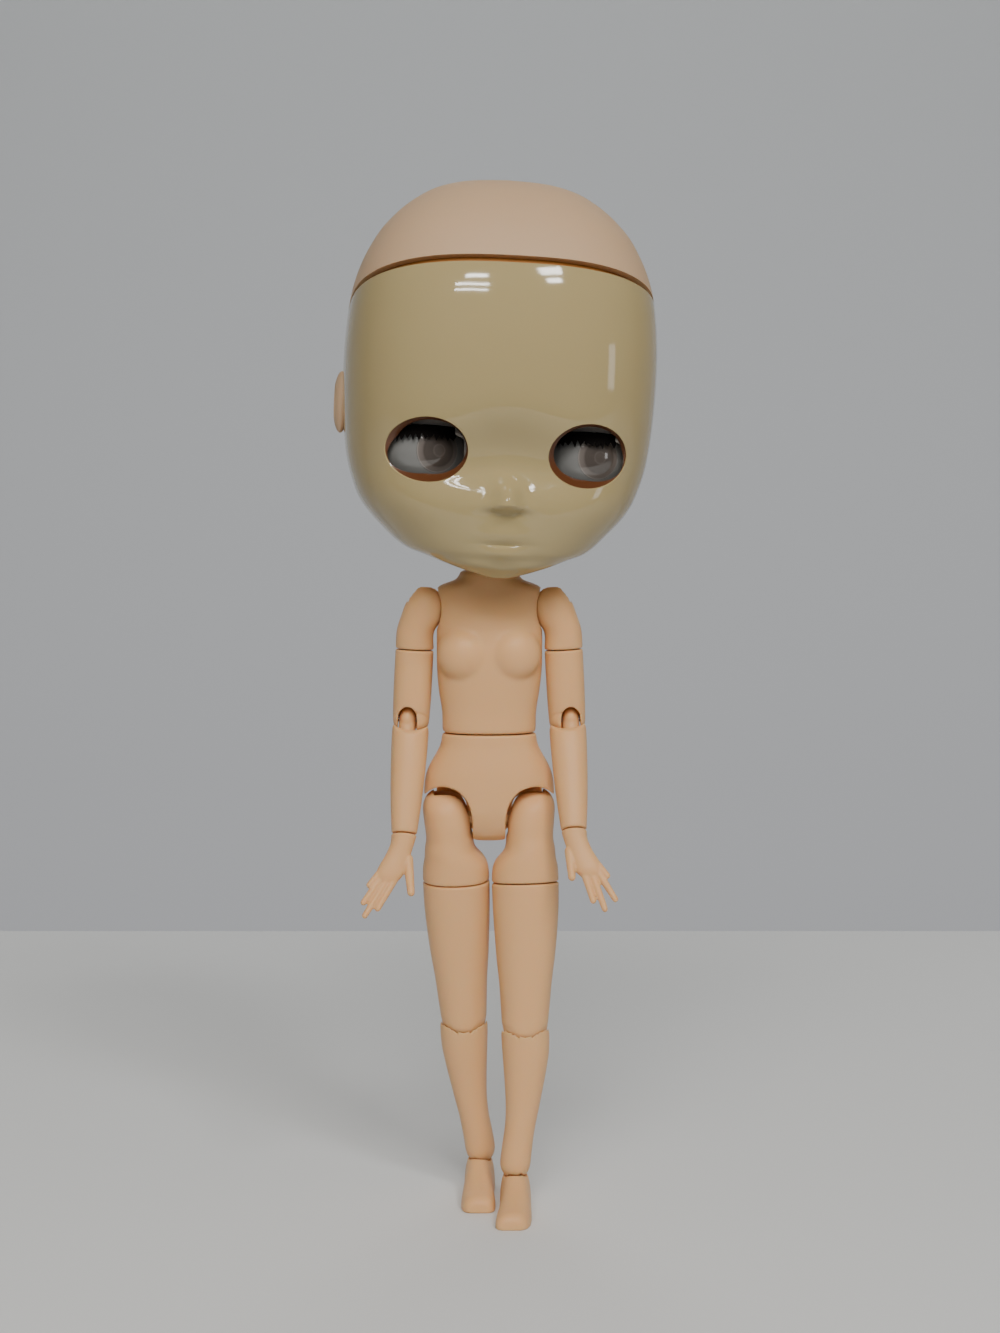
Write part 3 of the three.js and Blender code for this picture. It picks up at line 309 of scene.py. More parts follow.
def applyModifier(shape, kind, **settings):
    bpy.ops.object.select_all(action="DESELECT")
    shape.select_set(True)
    bpy.context.view_layer.objects.active = shape
    modifier = shape.modifiers.new(kind.lower(), kind)
    for name, value in settings.items():
        setattr(modifier, name, value)
    bpy.ops.object.modifier_apply(modifier=modifier.name)
    return shape


def combine(shape, operation, tools, paint="INDEX"):
    for tool in tools:
        applyModifier(shape, "BOOLEAN", operation=operation, solver="EXACT", object=tool, material_mode=paint)
        bpy.data.objects.remove(tool)
    return shape


def cut(shape, *tools):
    return combine(shape, "DIFFERENCE", tools)


def keepWithin(shape, *tools):
    return combine(shape, "INTERSECT", tools)


def gathered(name, *shapes):
    bpy.ops.object.select_all(action="DESELECT")
    for shape in shapes:
        shape.select_set(True)
    bpy.context.view_layer.objects.active = shapes[0]
    bpy.ops.object.join()
    shapes[0].name = name
    return shapes[0]


def soften(shape, voxel, rounds):
    # one even skin with slightly rounded edges, as a moulded piece has
    applyModifier(shape, "REMESH", mode="VOXEL", voxel_size=voxel)
    return applyModifier(shape, "SMOOTH", factor=0.5, iterations=rounds)


def copyOf(shape, name):
    twin = shape.copy()
    twin.data = shape.data.copy()
    twin.name = name
    bpy.context.scene.collection.objects.link(twin)
    return twin


def frameAt(place, up, back=None, across=None):
    # a piece's own frame, from its joints' axes
    up = Vector(up) if up[2] > 0 else -Vector(up)
    if back is not None:
        back = Vector(back) if back[1] > 0 else -Vector(back)
        across = back.cross(up)
    else:
        across = Vector(across) if across[0] > 0 else -Vector(across)
    across.normalize()
    back = up.cross(across)
    turn = Matrix((across, back, up)).transposed().to_4x4()
    return Matrix.Translation(Vector(place)) @ turn @ Matrix.Scale(mm, 4)


def finishPiece(shape, place, body, nodes, slotName, side=1, smoothAngle=None):
    shape.data.transform(place @ Matrix.Diagonal((side, 1, 1, 1)))
    if side < 0:
        shape.data.flip_normals()
    shape.data.update()
    shape.name = f"{nodes[0]}_shown"
    bpy.ops.object.select_all(action="DESELECT")
    shape.select_set(True)
    bpy.context.view_layer.objects.active = shape
    if smoothAngle is None:
        bpy.ops.object.shade_smooth()
    else:
        bpy.ops.object.shade_smooth_by_angle(angle=math.radians(smoothAngle))
    if not any(shape.data.materials):
        shape.data.materials.clear()
        shape.data.materials.append(materials[slotName])
    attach(shape, body)
    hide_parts(*nodes)
    return shape


def jointAt(name):
    return joints[name]["pos_m"]


def jointAxis(name):
    return joints[name]["axis"]


def pinHinge(radius, halfWidth, tongue, upperNotch, lowerNotch, tongueX=0):
    return {"radius": radius, "halfWidth": halfWidth, "tongue": tongue, "upperNotch": upperNotch,
            "lowerNotch": lowerNotch, "tongueX": tongueX, "gap": 0.45, "cheek": 0.3 * radius}


def hingeEnd(shape, hinge, fold, center=(0, 0, 0)):
    # the upper piece ends in a slotted ball
    x, _, z = center
    knob = ball(center, (hinge["halfWidth"], hinge["radius"], hinge["radius"]))
    shaft = copyOf(shape, "shaft")
    keepWithin(shaft, aboveSlope(z, 0), aboveSlope(z, -fold * hinge["upperNotch"]))
    keepWithin(shape, knob)
    combine(shape, "UNION", [shaft])
    inner = hinge["radius"] - hinge["cheek"]
    slotY = sorted((-inner * fold, far * fold))
    wide, x = hinge["tongue"] + 0.35, x + hinge["tongueX"]
    turns = np.linspace(0, math.pi, 17)
    arch = [(x + wide * math.cos(a), z + inner * math.sin(a)) for a in turns]
    return cut(shape, outlineSlab([(x + wide, z - far)] + arch + [(x - wide, z - far)], *slotY))


def hingeStart(shape, hinge, fold):
    # the lower piece holds the ball in a hollow seat, with a tongue on the pin
    radius, wide, room = hinge["radius"], hinge["halfWidth"], hinge["gap"]
    cut(shape, ball((0, 0, 0), (wide + room, radius + room, radius + room)),
        aboveSlope(0, fold * hinge["lowerNotch"]))
    tongue, x = hinge["tongue"], hinge["tongueX"]
    inner = radius - hinge["cheek"] - 0.35
    knuckle = ball((x, 0, 0), (tongue, inner, inner))
    stem = rod((0, 0, -radius - 2 * hinge["cheek"]), (0, 0, 0), 1)
    writePoints(stem, readPoints(stem) * (tongue, radius / 2, 1) + (x, 0, 0))
    return combine(shape, "UNION", [knuckle, stem])


# Trunk

trunk = {
    "waistZ": 139.8,
    "collarZ": 187.4,
    "crotchZ": 108.3,
    "waist": (13.8, 9.2, 8.4, 0, 0),
    "waistRoom": (5.35, 6.55),  # reach and radius of the peg's room
    "seamGap": 0.3,
    "chestRows": [
        [0.132, 13.9, 9.3, 8.6, 0, 0], [0.255, 14.8, 10, 9.3, 0, 0], [0.388, 15.4, 10.7, 10, 0.1, 0],
        [0.51, 15.5, 10.7, 10.4, 0.1, 0], [0.633, 15.5, 10, 10.2, 0.1, 0], [0.728, 15.5, 9.2, 9.7, 0, 0],
        [0.803, 15.8, 8.7, 9.1, 0, 0], [0.851, 16, 8.5, 8.8, 0, 0], [0.898, 15.2, 8.4, 8.6, 0, 0],
        [0.926, 12.2, 8.4, 8.5, 0, 0], [0.945, 9.6, 8.4, 8.4, 0, 0], [1, 8.4, 8.3, 8.3, 0, 0],
    ],
    "pelvisRows": [
        [0, 5, 4.6, 6.4, 0, 0], [0.06, 9, 7.2, 9, 0, 0], [0.25, 18.9, 9.8, 11.8, 0, 0],
        [0.42, 19.2, 10.3, 12, 0, 0], [0.6, 18.7, 10.3, 11.4, 0, 0], [0.71, 17.4, 10, 10.6, 0, 0],
        [0.81, 15.6, 9.6, 9.6, 0, 0], [0.9, 14.3, 9.3, 8.8, 0, 0],
    ],
    "bust": ((7.2, -6.3, 163.2), (7.9, 6.4, 8.1)),
    "shoulder": (21.2, 176.4),
    "shoulderSocket": (8.9, 8, 8.2),
    "shoulderShaft": (9.05, 2.05, 11.55, 3.75),  # shaft from x, radius, flange to x, radius
    "hip": (12, 114),
    "hipShaft": (0.05, 2.55, 2.15, 3.95),
    "neck": (178.5, 5.75, 5.55, 6.95),  # socket height and radius, collar radii
    "archTop": 124.5,
    "archSide": 120.3,
    "crotchHalf": 4.8,
    "archSteps": [(0, 0, -far, 7.4), (4.4, 1.8, 7.4, far)],  # mm lower, mm inwards, from y, to y
    # the thigh's top turns in these: radius, mm above the hip, from x or y, to x or y
    "swingRoom": (10.1, 1, -6.6, 5.6),
    "splayRoom": (8.8, 0.5, -7.4, 7.4),
}


def linkRooms(settings, z, side):
    start, shaft, flangeEnd, flange = settings
    return [rod((side * start, 0, z), (side * far, 0, z), shaft),
            rod((side * start, 0, z), (side * flangeEnd, 0, z), flange)]


def splitFrontBack(shape, names, place, body):
    half = trunk["seamGap"] / 2
    back = copyOf(shape, "backHalf")
    keepWithin(shape, block((-far, -far, -far), (far, -half, far)))
    keepWithin(back, block((-far, half, -far), (far, far, far)))
    for piece, node in zip((shape, back), names):
        finishPiece(soften(piece, 0.42, 3), place, body, [node], "body_plastic")


def archOutline(settings, lower, inwards):
    hipX, hipZ = settings["hip"]
    top, sideZ = settings["archTop"] - lower, settings["archSide"] - lower / 2
    inner = settings["crotchHalf"] + inwards
    points = [(inner, -far)]
    for t in np.linspace(0, 1, 14):
        weights = ((1 - t) ** 3, 3 * t * (1 - t) ** 2, 3 * t * t * (1 - t), t**3)
        handles = ((inner, hipZ - 1), (inner, hipZ + 7), (hipX - 3.6, top), (hipX + 1.4, top))
        points.append(tuple(sum(w * h[axis] for w, h in zip(weights, handles)) for axis in (0, 1)))
    for t in np.linspace(0.15, 1, 8):
        weights = ((1 - t) ** 2, 2 * t * (1 - t), t * t)
        handles = ((hipX + 1.4, top), (hipX + 5, top), (hipX + 8, sideZ))
        points.append(tuple(sum(w * h[axis] for w, h in zip(weights, handles)) for axis in (0, 1)))
    return points + [(far, sideZ), (far, -far)]


def makeTrunk(settings):
    waistZ, half = settings["waistZ"], settings["seamGap"] / 2
    place = Matrix.Translation(Vector(jointAt("waist_turn"))) @ Matrix.Scale(mm, 4)
    place = place @ Matrix.Translation((0, 0, -waistZ))
    chestRows = [[0, *settings["waist"]]] + settings["chestRows"]
    chest = loft("chest", waistZ + half, settings["collarZ"], chestRows, 2.3, 72, 60, 0.5)
    (bustX, bustY, bustZ), radii = settings["bust"]
    chest = gathered("chest", chest, *[ball((s * bustX, bustY, bustZ), radii) for s in (-1, 1)])
    soften(chest, 0.5, 14)
    socketZ, socket, collarLow, collarHigh = settings["neck"]
    pegReach, pegRadius = settings["waistRoom"]
    shoulderX, shoulderZ = settings["shoulder"]
    cut(chest, ball((0, 0, socketZ), (socket,) * 3),
        rod((0, 0, socketZ), (0, 0, settings["collarZ"] + 1), collarLow, collarHigh),
        rod((0, 0, waistZ - 1), (0, 0, waistZ + pegReach), pegRadius))
    for side in (-1, 1):
        x = side * shoulderX
        cut(chest, ball((x, 0, shoulderZ), settings["shoulderSocket"], 64),
            *linkRooms(settings["shoulderShaft"], shoulderZ, side))
    splitFrontBack(chest, ("chest_front", "chest_back"), place, "torso")
    pelvisRows = settings["pelvisRows"] + [[1, *settings["waist"]]]
    pelvis = loft("pelvis", settings["crotchZ"], waistZ - half, pelvisRows, 2.3, 72, 50, 0.5)
    hipX, hipZ = settings["hip"]
    cut(pelvis, rod((0, 0, waistZ + 1), (0, 0, waistZ - pegReach), pegRadius))
    for side in (-1, 1):
        for lower, inwards, yFrom, yTo in settings["archSteps"]:
            arch = [(side * x, z) for x, z in archOutline(settings, lower, inwards)]
            cut(pelvis, outlineSlab(arch, yFrom, yTo))
        radius, lift, yFrom, yTo = settings["splayRoom"]
        turns = np.linspace(0, math.pi, 33)
        room = [(side * (hipX + radius * math.cos(a)), hipZ + lift + radius * math.sin(a)) for a in turns]
        radius, lift, xFrom, xTo = settings["swingRoom"]
        barrel = rod((side * (hipX + xFrom), 0, hipZ), (side * (hipX + xTo), 0, hipZ), radius, around=64)
        keepWithin(barrel, block((-far, -far, hipZ + lift), (far, far, far)))
        cut(pelvis, outlineSlab(room, yFrom, yTo), barrel)
        cut(pelvis, *linkRooms(settings["hipShaft"], hipZ, side))
    splitFrontBack(pelvis, ("pelvis_front", "pelvis_back"), place, "pelvis")


makeTrunk(trunk)
print("trunk made")


# Pegs at the turning seams

def seamPeg(peg, z, toward, x=0):
    low, high = sorted((z - toward * peg["root"], z + toward * peg["reach"]))
    return rod((x, 0, low), (x, 0, high), peg["radius"])


def seamRoom(peg, z, toward, x=0):
    low, high = sorted((z - toward, z + toward * (peg["reach"] + peg["spare"])))
    return rod((x, 0, low), (x, 0, high), peg["room"])


# Arms

arm = {
    "seam": (5.6, 5.5, 5.5, 0, 0),
    "seamDrop": 12,
    "capTop": 6.9,
    "upperLength": 32.6,
    "foreLength": 34.5,
    "wrist": (3.7, 3.5, 3.5, 0, 0),
    "elbow": pinHinge(5.4, 5.4, 2.5, 27, 48, 1),
    "link": (2.5, 3.6),  # barrel radius and length
    "armPeg": {"radius": 2.6, "room": 3.1, "root": 1.5, "reach": 3, "spare": 0.6},
    "wristPeg": {"radius": 1.8, "room": 2.3, "root": 2, "reach": 2.6, "spare": 0.5},
    "skin": (0.36, 3),  # grain of the skin and rounds of smoothing
    "capRows": [
        [0.28, 5.5, 5.6, 5.6, 0, 0], [0.51, 6.2, 5.7, 5.7, -1.8, 0], [0.75, 5.7, 5.4, 5.4, -2.8, 0],
        [0.89, 4.05, 4.2, 4.2, -2.75, 0], [0.97, 2.65, 2.3, 2.3, -2.35, 0], [1, 1.2, 1, 1, -2.2, 0],
    ],
    "upperRows": [[0, 5, 4.9, 4.9, 0, 0], [0.25, 5.4, 5.2, 5.2, 0, 0], [0.55, 5.6, 5.5, 5.5, 0, 0]],
    "foreRows": [[0.3, 4.6, 4.3, 4.3, 0, 0], [0.6, 5.15, 5, 5, 0, 0], [0.85, 5.4, 5.3, 5.3, 0, 0],
                 [1, 5.3, 5.2, 5.2, 0, 0]],
}


def slottedHead(shape, barrel, length):
    room, half = barrel + 0.35, length / 2 + 0.35
    return cut(shape, block((-far, -half, -room), (room, half, far)))


def makeArm(settings, name, side):
    seam, drop = settings["seam"], settings["seamDrop"]
    up = jointAxis(f"{name}_upper_arm_turn")
    shoulder = frameAt(jointAt(f"{name}_shoulder_raise"), up, back=jointAxis(f"{name}_shoulder_raise"))
    cap = loft(f"{name}_shoulder_cap", -drop, settings["capTop"], [[0, *seam]] + settings["capRows"])
    combine(cap, "UNION", [seamPeg(settings["armPeg"], -drop, -1)])
    soften(slottedHead(cap, *settings["link"]), *settings["skin"])
    finishPiece(cap, shoulder, f"{name}_shoulder_cap", [f"{name}_shoulder_cap"], "body_plastic", side)
    elbow = frameAt(jointAt(f"{name}_elbow"), up, back=jointAxis(f"{name}_shoulder_raise"))
    top = settings["upperLength"] - drop - trunk["seamGap"]
    hinge = settings["elbow"]
    upper = loft(f"{name}_upper_arm", -hinge["radius"], top, settings["upperRows"] + [[1, *seam]])
    cut(upper, seamRoom(settings["armPeg"], top, -1))
    soften(hingeEnd(upper, hinge, -1), *settings["skin"])
    finishPiece(upper, elbow, f"{name}_upper_arm", [f"{name}_upper_arm"], "body_plastic", side)
    folded = frameAt(jointAt(f"{name}_elbow"), jointAxis(f"{name}_wrist_turn"),
                     across=jointAxis(f"{name}_elbow"))
    wristZ = -settings["foreLength"]
    fore = loft(f"{name}_forearm", wristZ, 0, [[0, *settings["wrist"]]] + settings["foreRows"])
    cut(fore, seamRoom(settings["wristPeg"], wristZ, 1))
    soften(hingeStart(fore, hinge, -1), *settings["skin"])
    finishPiece(fore, folded, f"{name}_forearm", [f"{name}_forearm"], "body_plastic", side)


# Hands

palm = {
    "length": 14.6,
    "fingerRadius": 1.2,
    "tipShare": 0.74,
    "thumbShare": 1.25,
    "rows": [
        [0, 2.2, 1.3, 1.3, 4, 0], [0.12, 3.7, 2, 1.9, 3.7, 0], [0.3, 4, 2.3, 2.2, 2.9, 0],
        [0.55, 3.6, 2.5, 2.4, 1.5, 0], [0.8, 3.4, 3, 3, 0.4, 0],
    ],
    "skin": (0.3, 3),
}

# fingers and thumb: x and depth of the root, x and depth of the tip
hands = {
    "left": {
        "fingers": [[2, 12, 4.4, 22.6], [4, 12, 7.6, 25.2],
                    [5.2, 11.2, 10.9, 22.4], [4.4, 8.4, 9.2, 15.2]],
        "thumb": [-1.6, 6.5, -1.4, 15.6],
    },
    "right": {
        "fingers": [[1.2, 12, 6.6, 23.2], [3, 11.8, 10.2, 25.4],
                    [4.2, 10.8, 10.9, 21.6], [4.2, 9, 9.6, 16.4]],
        "thumb": [-1.6, 7.5, -3.2, 18.4],
    },
}


def finger(root, tip, thick):
    tip = Vector(tip) - (Vector(tip) - Vector(root)).normalized() * thick * 0.7
    fine = thick * palm["tipShare"]
    return [rod(root, tip, thick, fine, 20), ball(root, (thick,) * 3, 20), ball(tip, (fine,) * 3, 20)]


def makeHand(settings, name, side):
    thick = palm["fingerRadius"]
    shapes = [loft("palm", -palm["length"], -trunk["seamGap"], palm["rows"] + [[1, *arm["wrist"]]])]
    for x, z, tipX, tipZ in settings["fingers"]:
        shapes += finger((x, 0, -z), (tipX, -0.9, -tipZ), thick)
    shapes.append(seamPeg(arm["wristPeg"], 0, 1))
    x, z, tipX, tipZ = settings["thumb"]
    shapes += finger((x, -0.3, -z), (tipX, -1.2, -tipZ), thick * palm["thumbShare"])
    hand = soften(gathered(f"{name}_hand", *shapes), *palm["skin"])
    place = frameAt(jointAt(f"{name}_wrist_turn"), jointAxis(f"{name}_wrist_turn"),
                    across=jointAxis(f"{name}_elbow"))
    finishPiece(hand, place, f"{name}_hand", [f"{name}_hand"], "body_plastic", side)


for name, side in (("left", 1), ("right", -1)):
    makeArm(arm, name, side)
    makeHand(hands[name], name, side)
print("arms and hands made")


# Legs

leg = {
    "seam": (9.9, 9.4, 9.5),
    "seamX": -1.8,
    "seamZ": -18.2,
    "headTop": 9.3,
    "kneeX": -1.1,
    "kneeDrop": 41.8,
    "ankle": (-3.9, -41.4),
    "link": (3.6, 5.2),
    "thighPeg": {"radius": 4, "room": 4.9, "root": 1.5, "reach": 3.2, "spare": 0.6},
    "skin": {"thigh": (0.42, 3), "calf": (0.4, 3), "foot": (0.36, 3)},
    "knee": pinHinge(7.1, 6.7, 2.2, 34, 54),
    "ankleHinge": pinHinge(4.4, 4.4, 1.5, 10, 28),
    "headRows": [
        [0.16, 9.6, 9.5, 9.8, -1.7, 0], [0.25, 8.8, 9.5, 9.8, -1.4, 0], [0.35, 7.5, 9.2, 9.7, -0.3, 0],
        [0.47, 6.95, 8.6, 9.4, -0.2, 0], [0.66, 7.05, 8.2, 8.4, 0.15, 0], [0.82, 6.58, 7.1, 6.7, 0.83, 0],
        [0.93, 5.22, 4.7, 4.7, 1.07, 0], [1, 2.7, 1.4, 1.4, 1.3, 0],
    ],
    "thighRows": [
        # share of the x shift comes last
        [0, 6.4, 6.6, 6.2, 0], [0.14, 6.8, 6.8, 6.4, 0], [0.27, 7.3, 7.2, 6.9, 0.2],
        [0.4, 7.8, 7.6, 7.4, 0.4], [0.54, 8.6, 8, 7.9, 0.6], [0.68, 9.2, 8.5, 8.5, 0.8],
        [0.84, 9.7, 9, 9.1, 0.95], [1, 9.9, 9.4, 9.5, 1],
    ],
    "calfRows": [
        [0, 4.3, 4.2, 4.2, 1], [0.09, 4.5, 4.4, 4.4, 1], [0.21, 4.5, 4.5, 4.7, 0.82],
        [0.33, 4.5, 4.7, 5.1, 0.58], [0.45, 4.9, 5, 5.7, 0.36],
        [0.58, 5.6, 5.5, 6.5, 0.2], [0.7, 6.3, 6.1, 7.1, 0.08],
        [0.82, 6.9, 6.7, 7.3, 0], [0.94, 7.1, 7, 7, 0], [1, 6.9, 7, 6.7, 0],
    ],
    "footLength": (9, 23.8),
    "footHeight": 12.6,  # mm from sole to ankle that the rows are drawn for
    "toeIn": {"left": 1.8, "right": 0.2},
    "footRows": [
        # share of the length, half width, height over the sole, x outwards
        [0, 2.4, 4.6, 0], [0.08, 4, 9.4, 0], [0.26, 4.6, 12.2, 0.2], [0.42, 4.5, 10.2, 0.4],
        [0.62, 4.8, 7.2, 0.6], [0.82, 5.1, 5.3, 0.6], [0.95, 4.6, 4.4, 0.5], [1, 3.5, 3.2, 0.4],
    ],
}


def makeLeg(settings, name, side):
    up, back = jointAxis(f"{name}_thigh_turn"), jointAxis(f"{name}_hip_splay")
    hip = frameAt(jointAt(f"{name}_hip_splay"), up, back=back)
    seam = (*settings["seam"], settings["seamX"], 0)
    peg, skin = settings["thighPeg"], settings["skin"]
    upperRows = [[0, *seam]] + settings["headRows"]
    head = loft(f"{name}_upper_thigh", settings["seamZ"], settings["headTop"], upperRows, rings=64)
    combine(head, "UNION", [seamPeg(peg, settings["seamZ"], -1, settings["seamX"])])
    soften(slottedHead(head, *settings["link"]), *skin["thigh"])
    finishPiece(head, hip, f"{name}_upper_thigh", [f"{name}_upper_thigh"], "body_plastic", side)
    knee = frameAt(jointAt(f"{name}_knee"), up, back=back)
    hinge, shiftX = settings["knee"], -settings["kneeX"]
    thighRows = [[*row[:4], shiftX * row[4], 0] for row in settings["thighRows"]]
    top = settings["kneeDrop"] - trunk["seamGap"]
    thigh = loft(f"{name}_thigh", -hinge["radius"], top, thighRows)
    cut(thigh, seamRoom(peg, top, -1, shiftX))
    soften(hingeEnd(thigh, hinge, 1), *skin["thigh"])
    finishPiece(thigh, knee, f"{name}_thigh", [f"{name}_thigh"], "body_plastic", side)
    ankleX, ankleZ = settings["ankle"]
    small = settings["ankleHinge"]
    calfRows = [[*row[:4], ankleX * row[4], 0] for row in settings["calfRows"]]
    calf = loft(f"{name}_calf", ankleZ - small["radius"], 0, calfRows)
    hingeEnd(calf, small, 1, (ankleX, 0, ankleZ))
    soften(hingeStart(calf, hinge, 1), *skin["calf"])
    finishPiece(calf, knee, f"{name}_calf", [f"{name}_calf"], "body_plastic", side)
    makeFoot(settings, name, side)


def makeFoot(settings, name, side):
    heel, toe = settings["footLength"]
    ankle = Vector(jointAt(f"{name}_ankle"))
    height = ankle.z / mm
    toeIn = settings["toeIn"][name]
    stretch = height / settings["footHeight"]
    rows = [[share, half, 1, z * stretch, x - toeIn * share**2, 0]
            for share, half, z, x in settings["footRows"]]
    foot = loft(f"{name}_foot", 0, heel + toe, rows, 2.6, 64, 60, 0.8)
    foot.data.transform(Matrix.Translation((0, heel, -height)) @ Matrix.Rotation(math.pi / 2, 4, "X"))
    keepWithin(foot, block((-far, -far, -height), (far, far, far)))
    soften(hingeStart(foot, settings["ankleHinge"], 1), *settings["skin"]["foot"])
    place = Matrix.Translation(ankle) @ Matrix.Scale(mm, 4)
    finishPiece(foot, place, f"{name}_foot", [f"{name}_foot"], "body_plastic", side)


for name, side in (("left", 1), ("right", -1)):
    makeLeg(leg, name, side)
print("legs and feet made")


# Head, measured from the point of the chin

head = {
    "height": 115.4,
    "halfWidth": 45,
    "front": 40.8,
    "back": 43,
    "lift": 6.1,
    "chin": 1.8,
    "power": 2.6,
    "wall": 2,
    "scalpZ": 77,
    "scalpSlope": 18.5,
    "scalpOpen": 1.3,
    "lip": (0.2, 1.4, 2.5, 5),  # inside the wall from, to; below the seam, above it
    "shellGap": 0.15,  # half the width of the seams between the shells
    "domeGap": 0.3,
    "neckRoom": (10.6, 9.5),  # top and radius of the bottom's thick part
    "neckHole": (13, 5.9),
    "cordHole": (34, 1.6),
    "earPlane": 4,
    "ear": (2.4, 5.2, 9),
    "earPlace": (6.7, 50),  # mm behind the seam, height
    "earBowl": 0.62,
    "rows": [
        # shares: height, half width, front, back, y
        [0, 0.067, 0.662, -0.488, -0.588], [0.0123, 0.189, 0.698, -0.372, -0.539],
        [0.0282, 0.322, 0.759, -0.163, -0.453], [0.0458, 0.444, 0.784, 0.047, -0.331],
        [0.0634, 0.569, 0.814, 0.279, -0.196], [0.102, 0.693, 0.853, 0.535, -0.074],
        [0.172, 0.853, 0.902, 0.721, 0], [0.243, 0.931, 0.939, 0.837, 0],
        [0.314, 0.971, 0.966, 0.907, 0], [0.436, 0.996, 0.995, 0.977, 0], [0.56, 1, 1, 1, 0],
        [0.669, 0.978, 0.966, 1, 0], [0.739, 0.942, 0.917, 0.967, 0], [0.81, 0.871, 0.833, 0.907, 0],
        [0.88, 0.756, 0.711, 0.805, 0], [0.95, 0.556, 0.502, 0.605, 0.049],
        [0.985, 0.344, 0.294, 0.395, 0.074], [1, 0.044, 0.025, 0.186, 0.086],
    ],
    # the eye band lies back under the forehead and over the cheeks
    "eyeBand": {"z": 33, "halfWidth": 34, "above": 9.4, "below": 6.9, "depth": 4.6},
    # broad swellings and dents of the face: x, z, half width, half height, mm to the front
    "relief": [
        (0, 40, 11, 8, -1.8),  # bridge
        (-25, 20, 13, 8, 0.6),  # cheeks
        (25, 20, 13, 8, 0.6),
        (0, 3.4, 8, 3.2, 0.7),  # chin
    ],
    # fine forms: x, z, half width, half height, mm to the front
    "lips": [
        (0, 13.9, 7, 1.9, 0.6),
        (0, 8.6, 5.6, 1.9, 1.15),
        (0, 5.2, 4.6, 1.1, -0.55),
        (0, 11.3, 6, 0.42, -0.75),
    ],
    "nose": {"top": 32.5, "tip": 23.2, "base": 19.9, "halfBridge": 3.6, "halfWings": 5.3, "reach": 4.2},
    "nostrils": [(-3.2, 20.2, 1.7, 0.75, -0.8), (3.2, 20.2, 1.7, 0.75, -0.8)],
}

eyes = {
    "x": 22.64,
    "y": -16.9,
    "z": 36.7,
    "half": (11.35, 8.95),
    "tilt": 3,
    # depth behind the face and growth of the opening, from its rounded outer edge to its inner edge
    "rim": [(-6, 0.9), (-0.9, 0.9), (-0.45, 0.5), (0, 0.12), (0.5, -0.15), (1.2, -0.75), (2.2, -1.4),
            (3.4, -1.65), (9, -1.65)],
    # depth from which the opening's wall is painted with shade
    "rimShadeFrom": 0.4,
    "slide": {"left": (0.4, 1.3), "right": (1.7, 1.35)},  # how far the inner edge lies to the side and up
    "lidRoom": 15.15,  # radius about the axle that the lids and lashes sweep
    "lidRoomHalf": 12.15,
}


def headRows(settings):
    front, back = settings["front"], settings["back"]
    return [[share, half * settings["halfWidth"], (reach + y) * front, rear * back - y * front, 0, y * front]
            for share, half, reach, rear, y in settings["rows"]]


def insetRows(settings, inset):
    return [[share, half - inset, front - inset, back - inset, x, y]
            for share, half, front, back, x, y in headRows(settings)]


def easedStep(value, low, high):
    t = np.clip((value - low) / (high - low), 0, 1)
    return t * t * (3 - 2 * t)


def swell(forms, x, z):
    forward = np.zeros_like(x)
    for cx, cz, wide, high, depth in forms:
        forward += depth * np.exp(-((x - cx) / wide) ** 2 - ((z - cz) / high) ** 2)
    return forward


def noseForm(nose, x, z):
    # a narrow bridge that widens to the wings, with an even slope above and a short underside
    down = easedStep(z, nose["top"], nose["tip"])
    under = easedStep(z, nose["base"] - 0.6, nose["base"] + 2.4)
    spread = easedStep(z, nose["tip"] + 2, nose["base"] + 1)
    half = nose["halfBridge"] + (nose["halfWings"] - nose["halfBridge"]) * spread
    return nose["reach"] * down * under * np.exp(-np.abs(x / half) ** 2)


def carveFace(shape, settings, fine):
    points = readPoints(shape)
    x, z = points[:, 0], points[:, 2]
    band = settings["eyeBand"]
    high = np.where(z > band["z"], band["above"], band["below"])
    forward = -band["depth"] * np.exp(-(x / band["halfWidth"]) ** 2 - ((z - band["z"]) / high) ** 2)
    forward += swell(settings["relief"], x, z)
    if fine:
        forward += swell(settings["lips"] + settings["nostrils"], x, z) + noseForm(settings["nose"], x, z)
    points[:, 1] -= np.clip(-points[:, 1] / 14 - 0.4, 0, 1) * forward
    return writePoints(shape, points)


def skullShape(settings, inset, around, rings, gather=0):
    rows = headRows(settings) if not inset else insetRows(settings, inset)
    bottom, top = settings["chin"] + inset, settings["height"] - inset
    return loft("skull", bottom, top, rows, settings["power"], around, rings, 0.05, True, gather)


def eyeTool(settings, name, side, face):
    # the opening's cutter: its edge is rounded outside, and its wall narrows inwards; deeper in, the cut wall
    # takes the rim material, a painted warm shade
    wide, high = settings["half"]
    low, top = settings["rim"][0][0], settings["rim"][-1][0]
    slideX, slideZ = settings["slide"][name]
    rows = []
    for depth, grow in settings["rim"]:
        inwards = min(max(depth / 3.4, 0), 1)
        share = (depth - low) / (top - low)
        rows.append([share, wide + grow, high + grow, high + grow, slideX * inwards, -slideZ * inwards])
    tool = loft("eyeTool", low, top, rows, 2, 128, 90, 0.02)
    for material in ("face_plastic", "rim"):
        tool.data.materials.append(materials[material])
    # the deeper part of the opening's wall gets painted shade in the rim material
    for polygon in tool.data.polygons:
        polygon.material_index = 1 if polygon.center.z > settings["rimShadeFrom"] else 0
    tilt = math.radians(-side * settings["tilt"])
    tool.data.transform(Matrix.Rotation(tilt, 4, "Y") @ Matrix.Rotation(-math.pi / 2, 4, "X"))
    points = readPoints(tool) + (side * settings["x"], 0, settings["z"])
    for point in points:
        hit, place, _, _ = face.ray_cast((point[0], -far, point[2]), (0, 1, 0))
        point[1] += place.y if hit else 0
    return writePoints(tool, points)


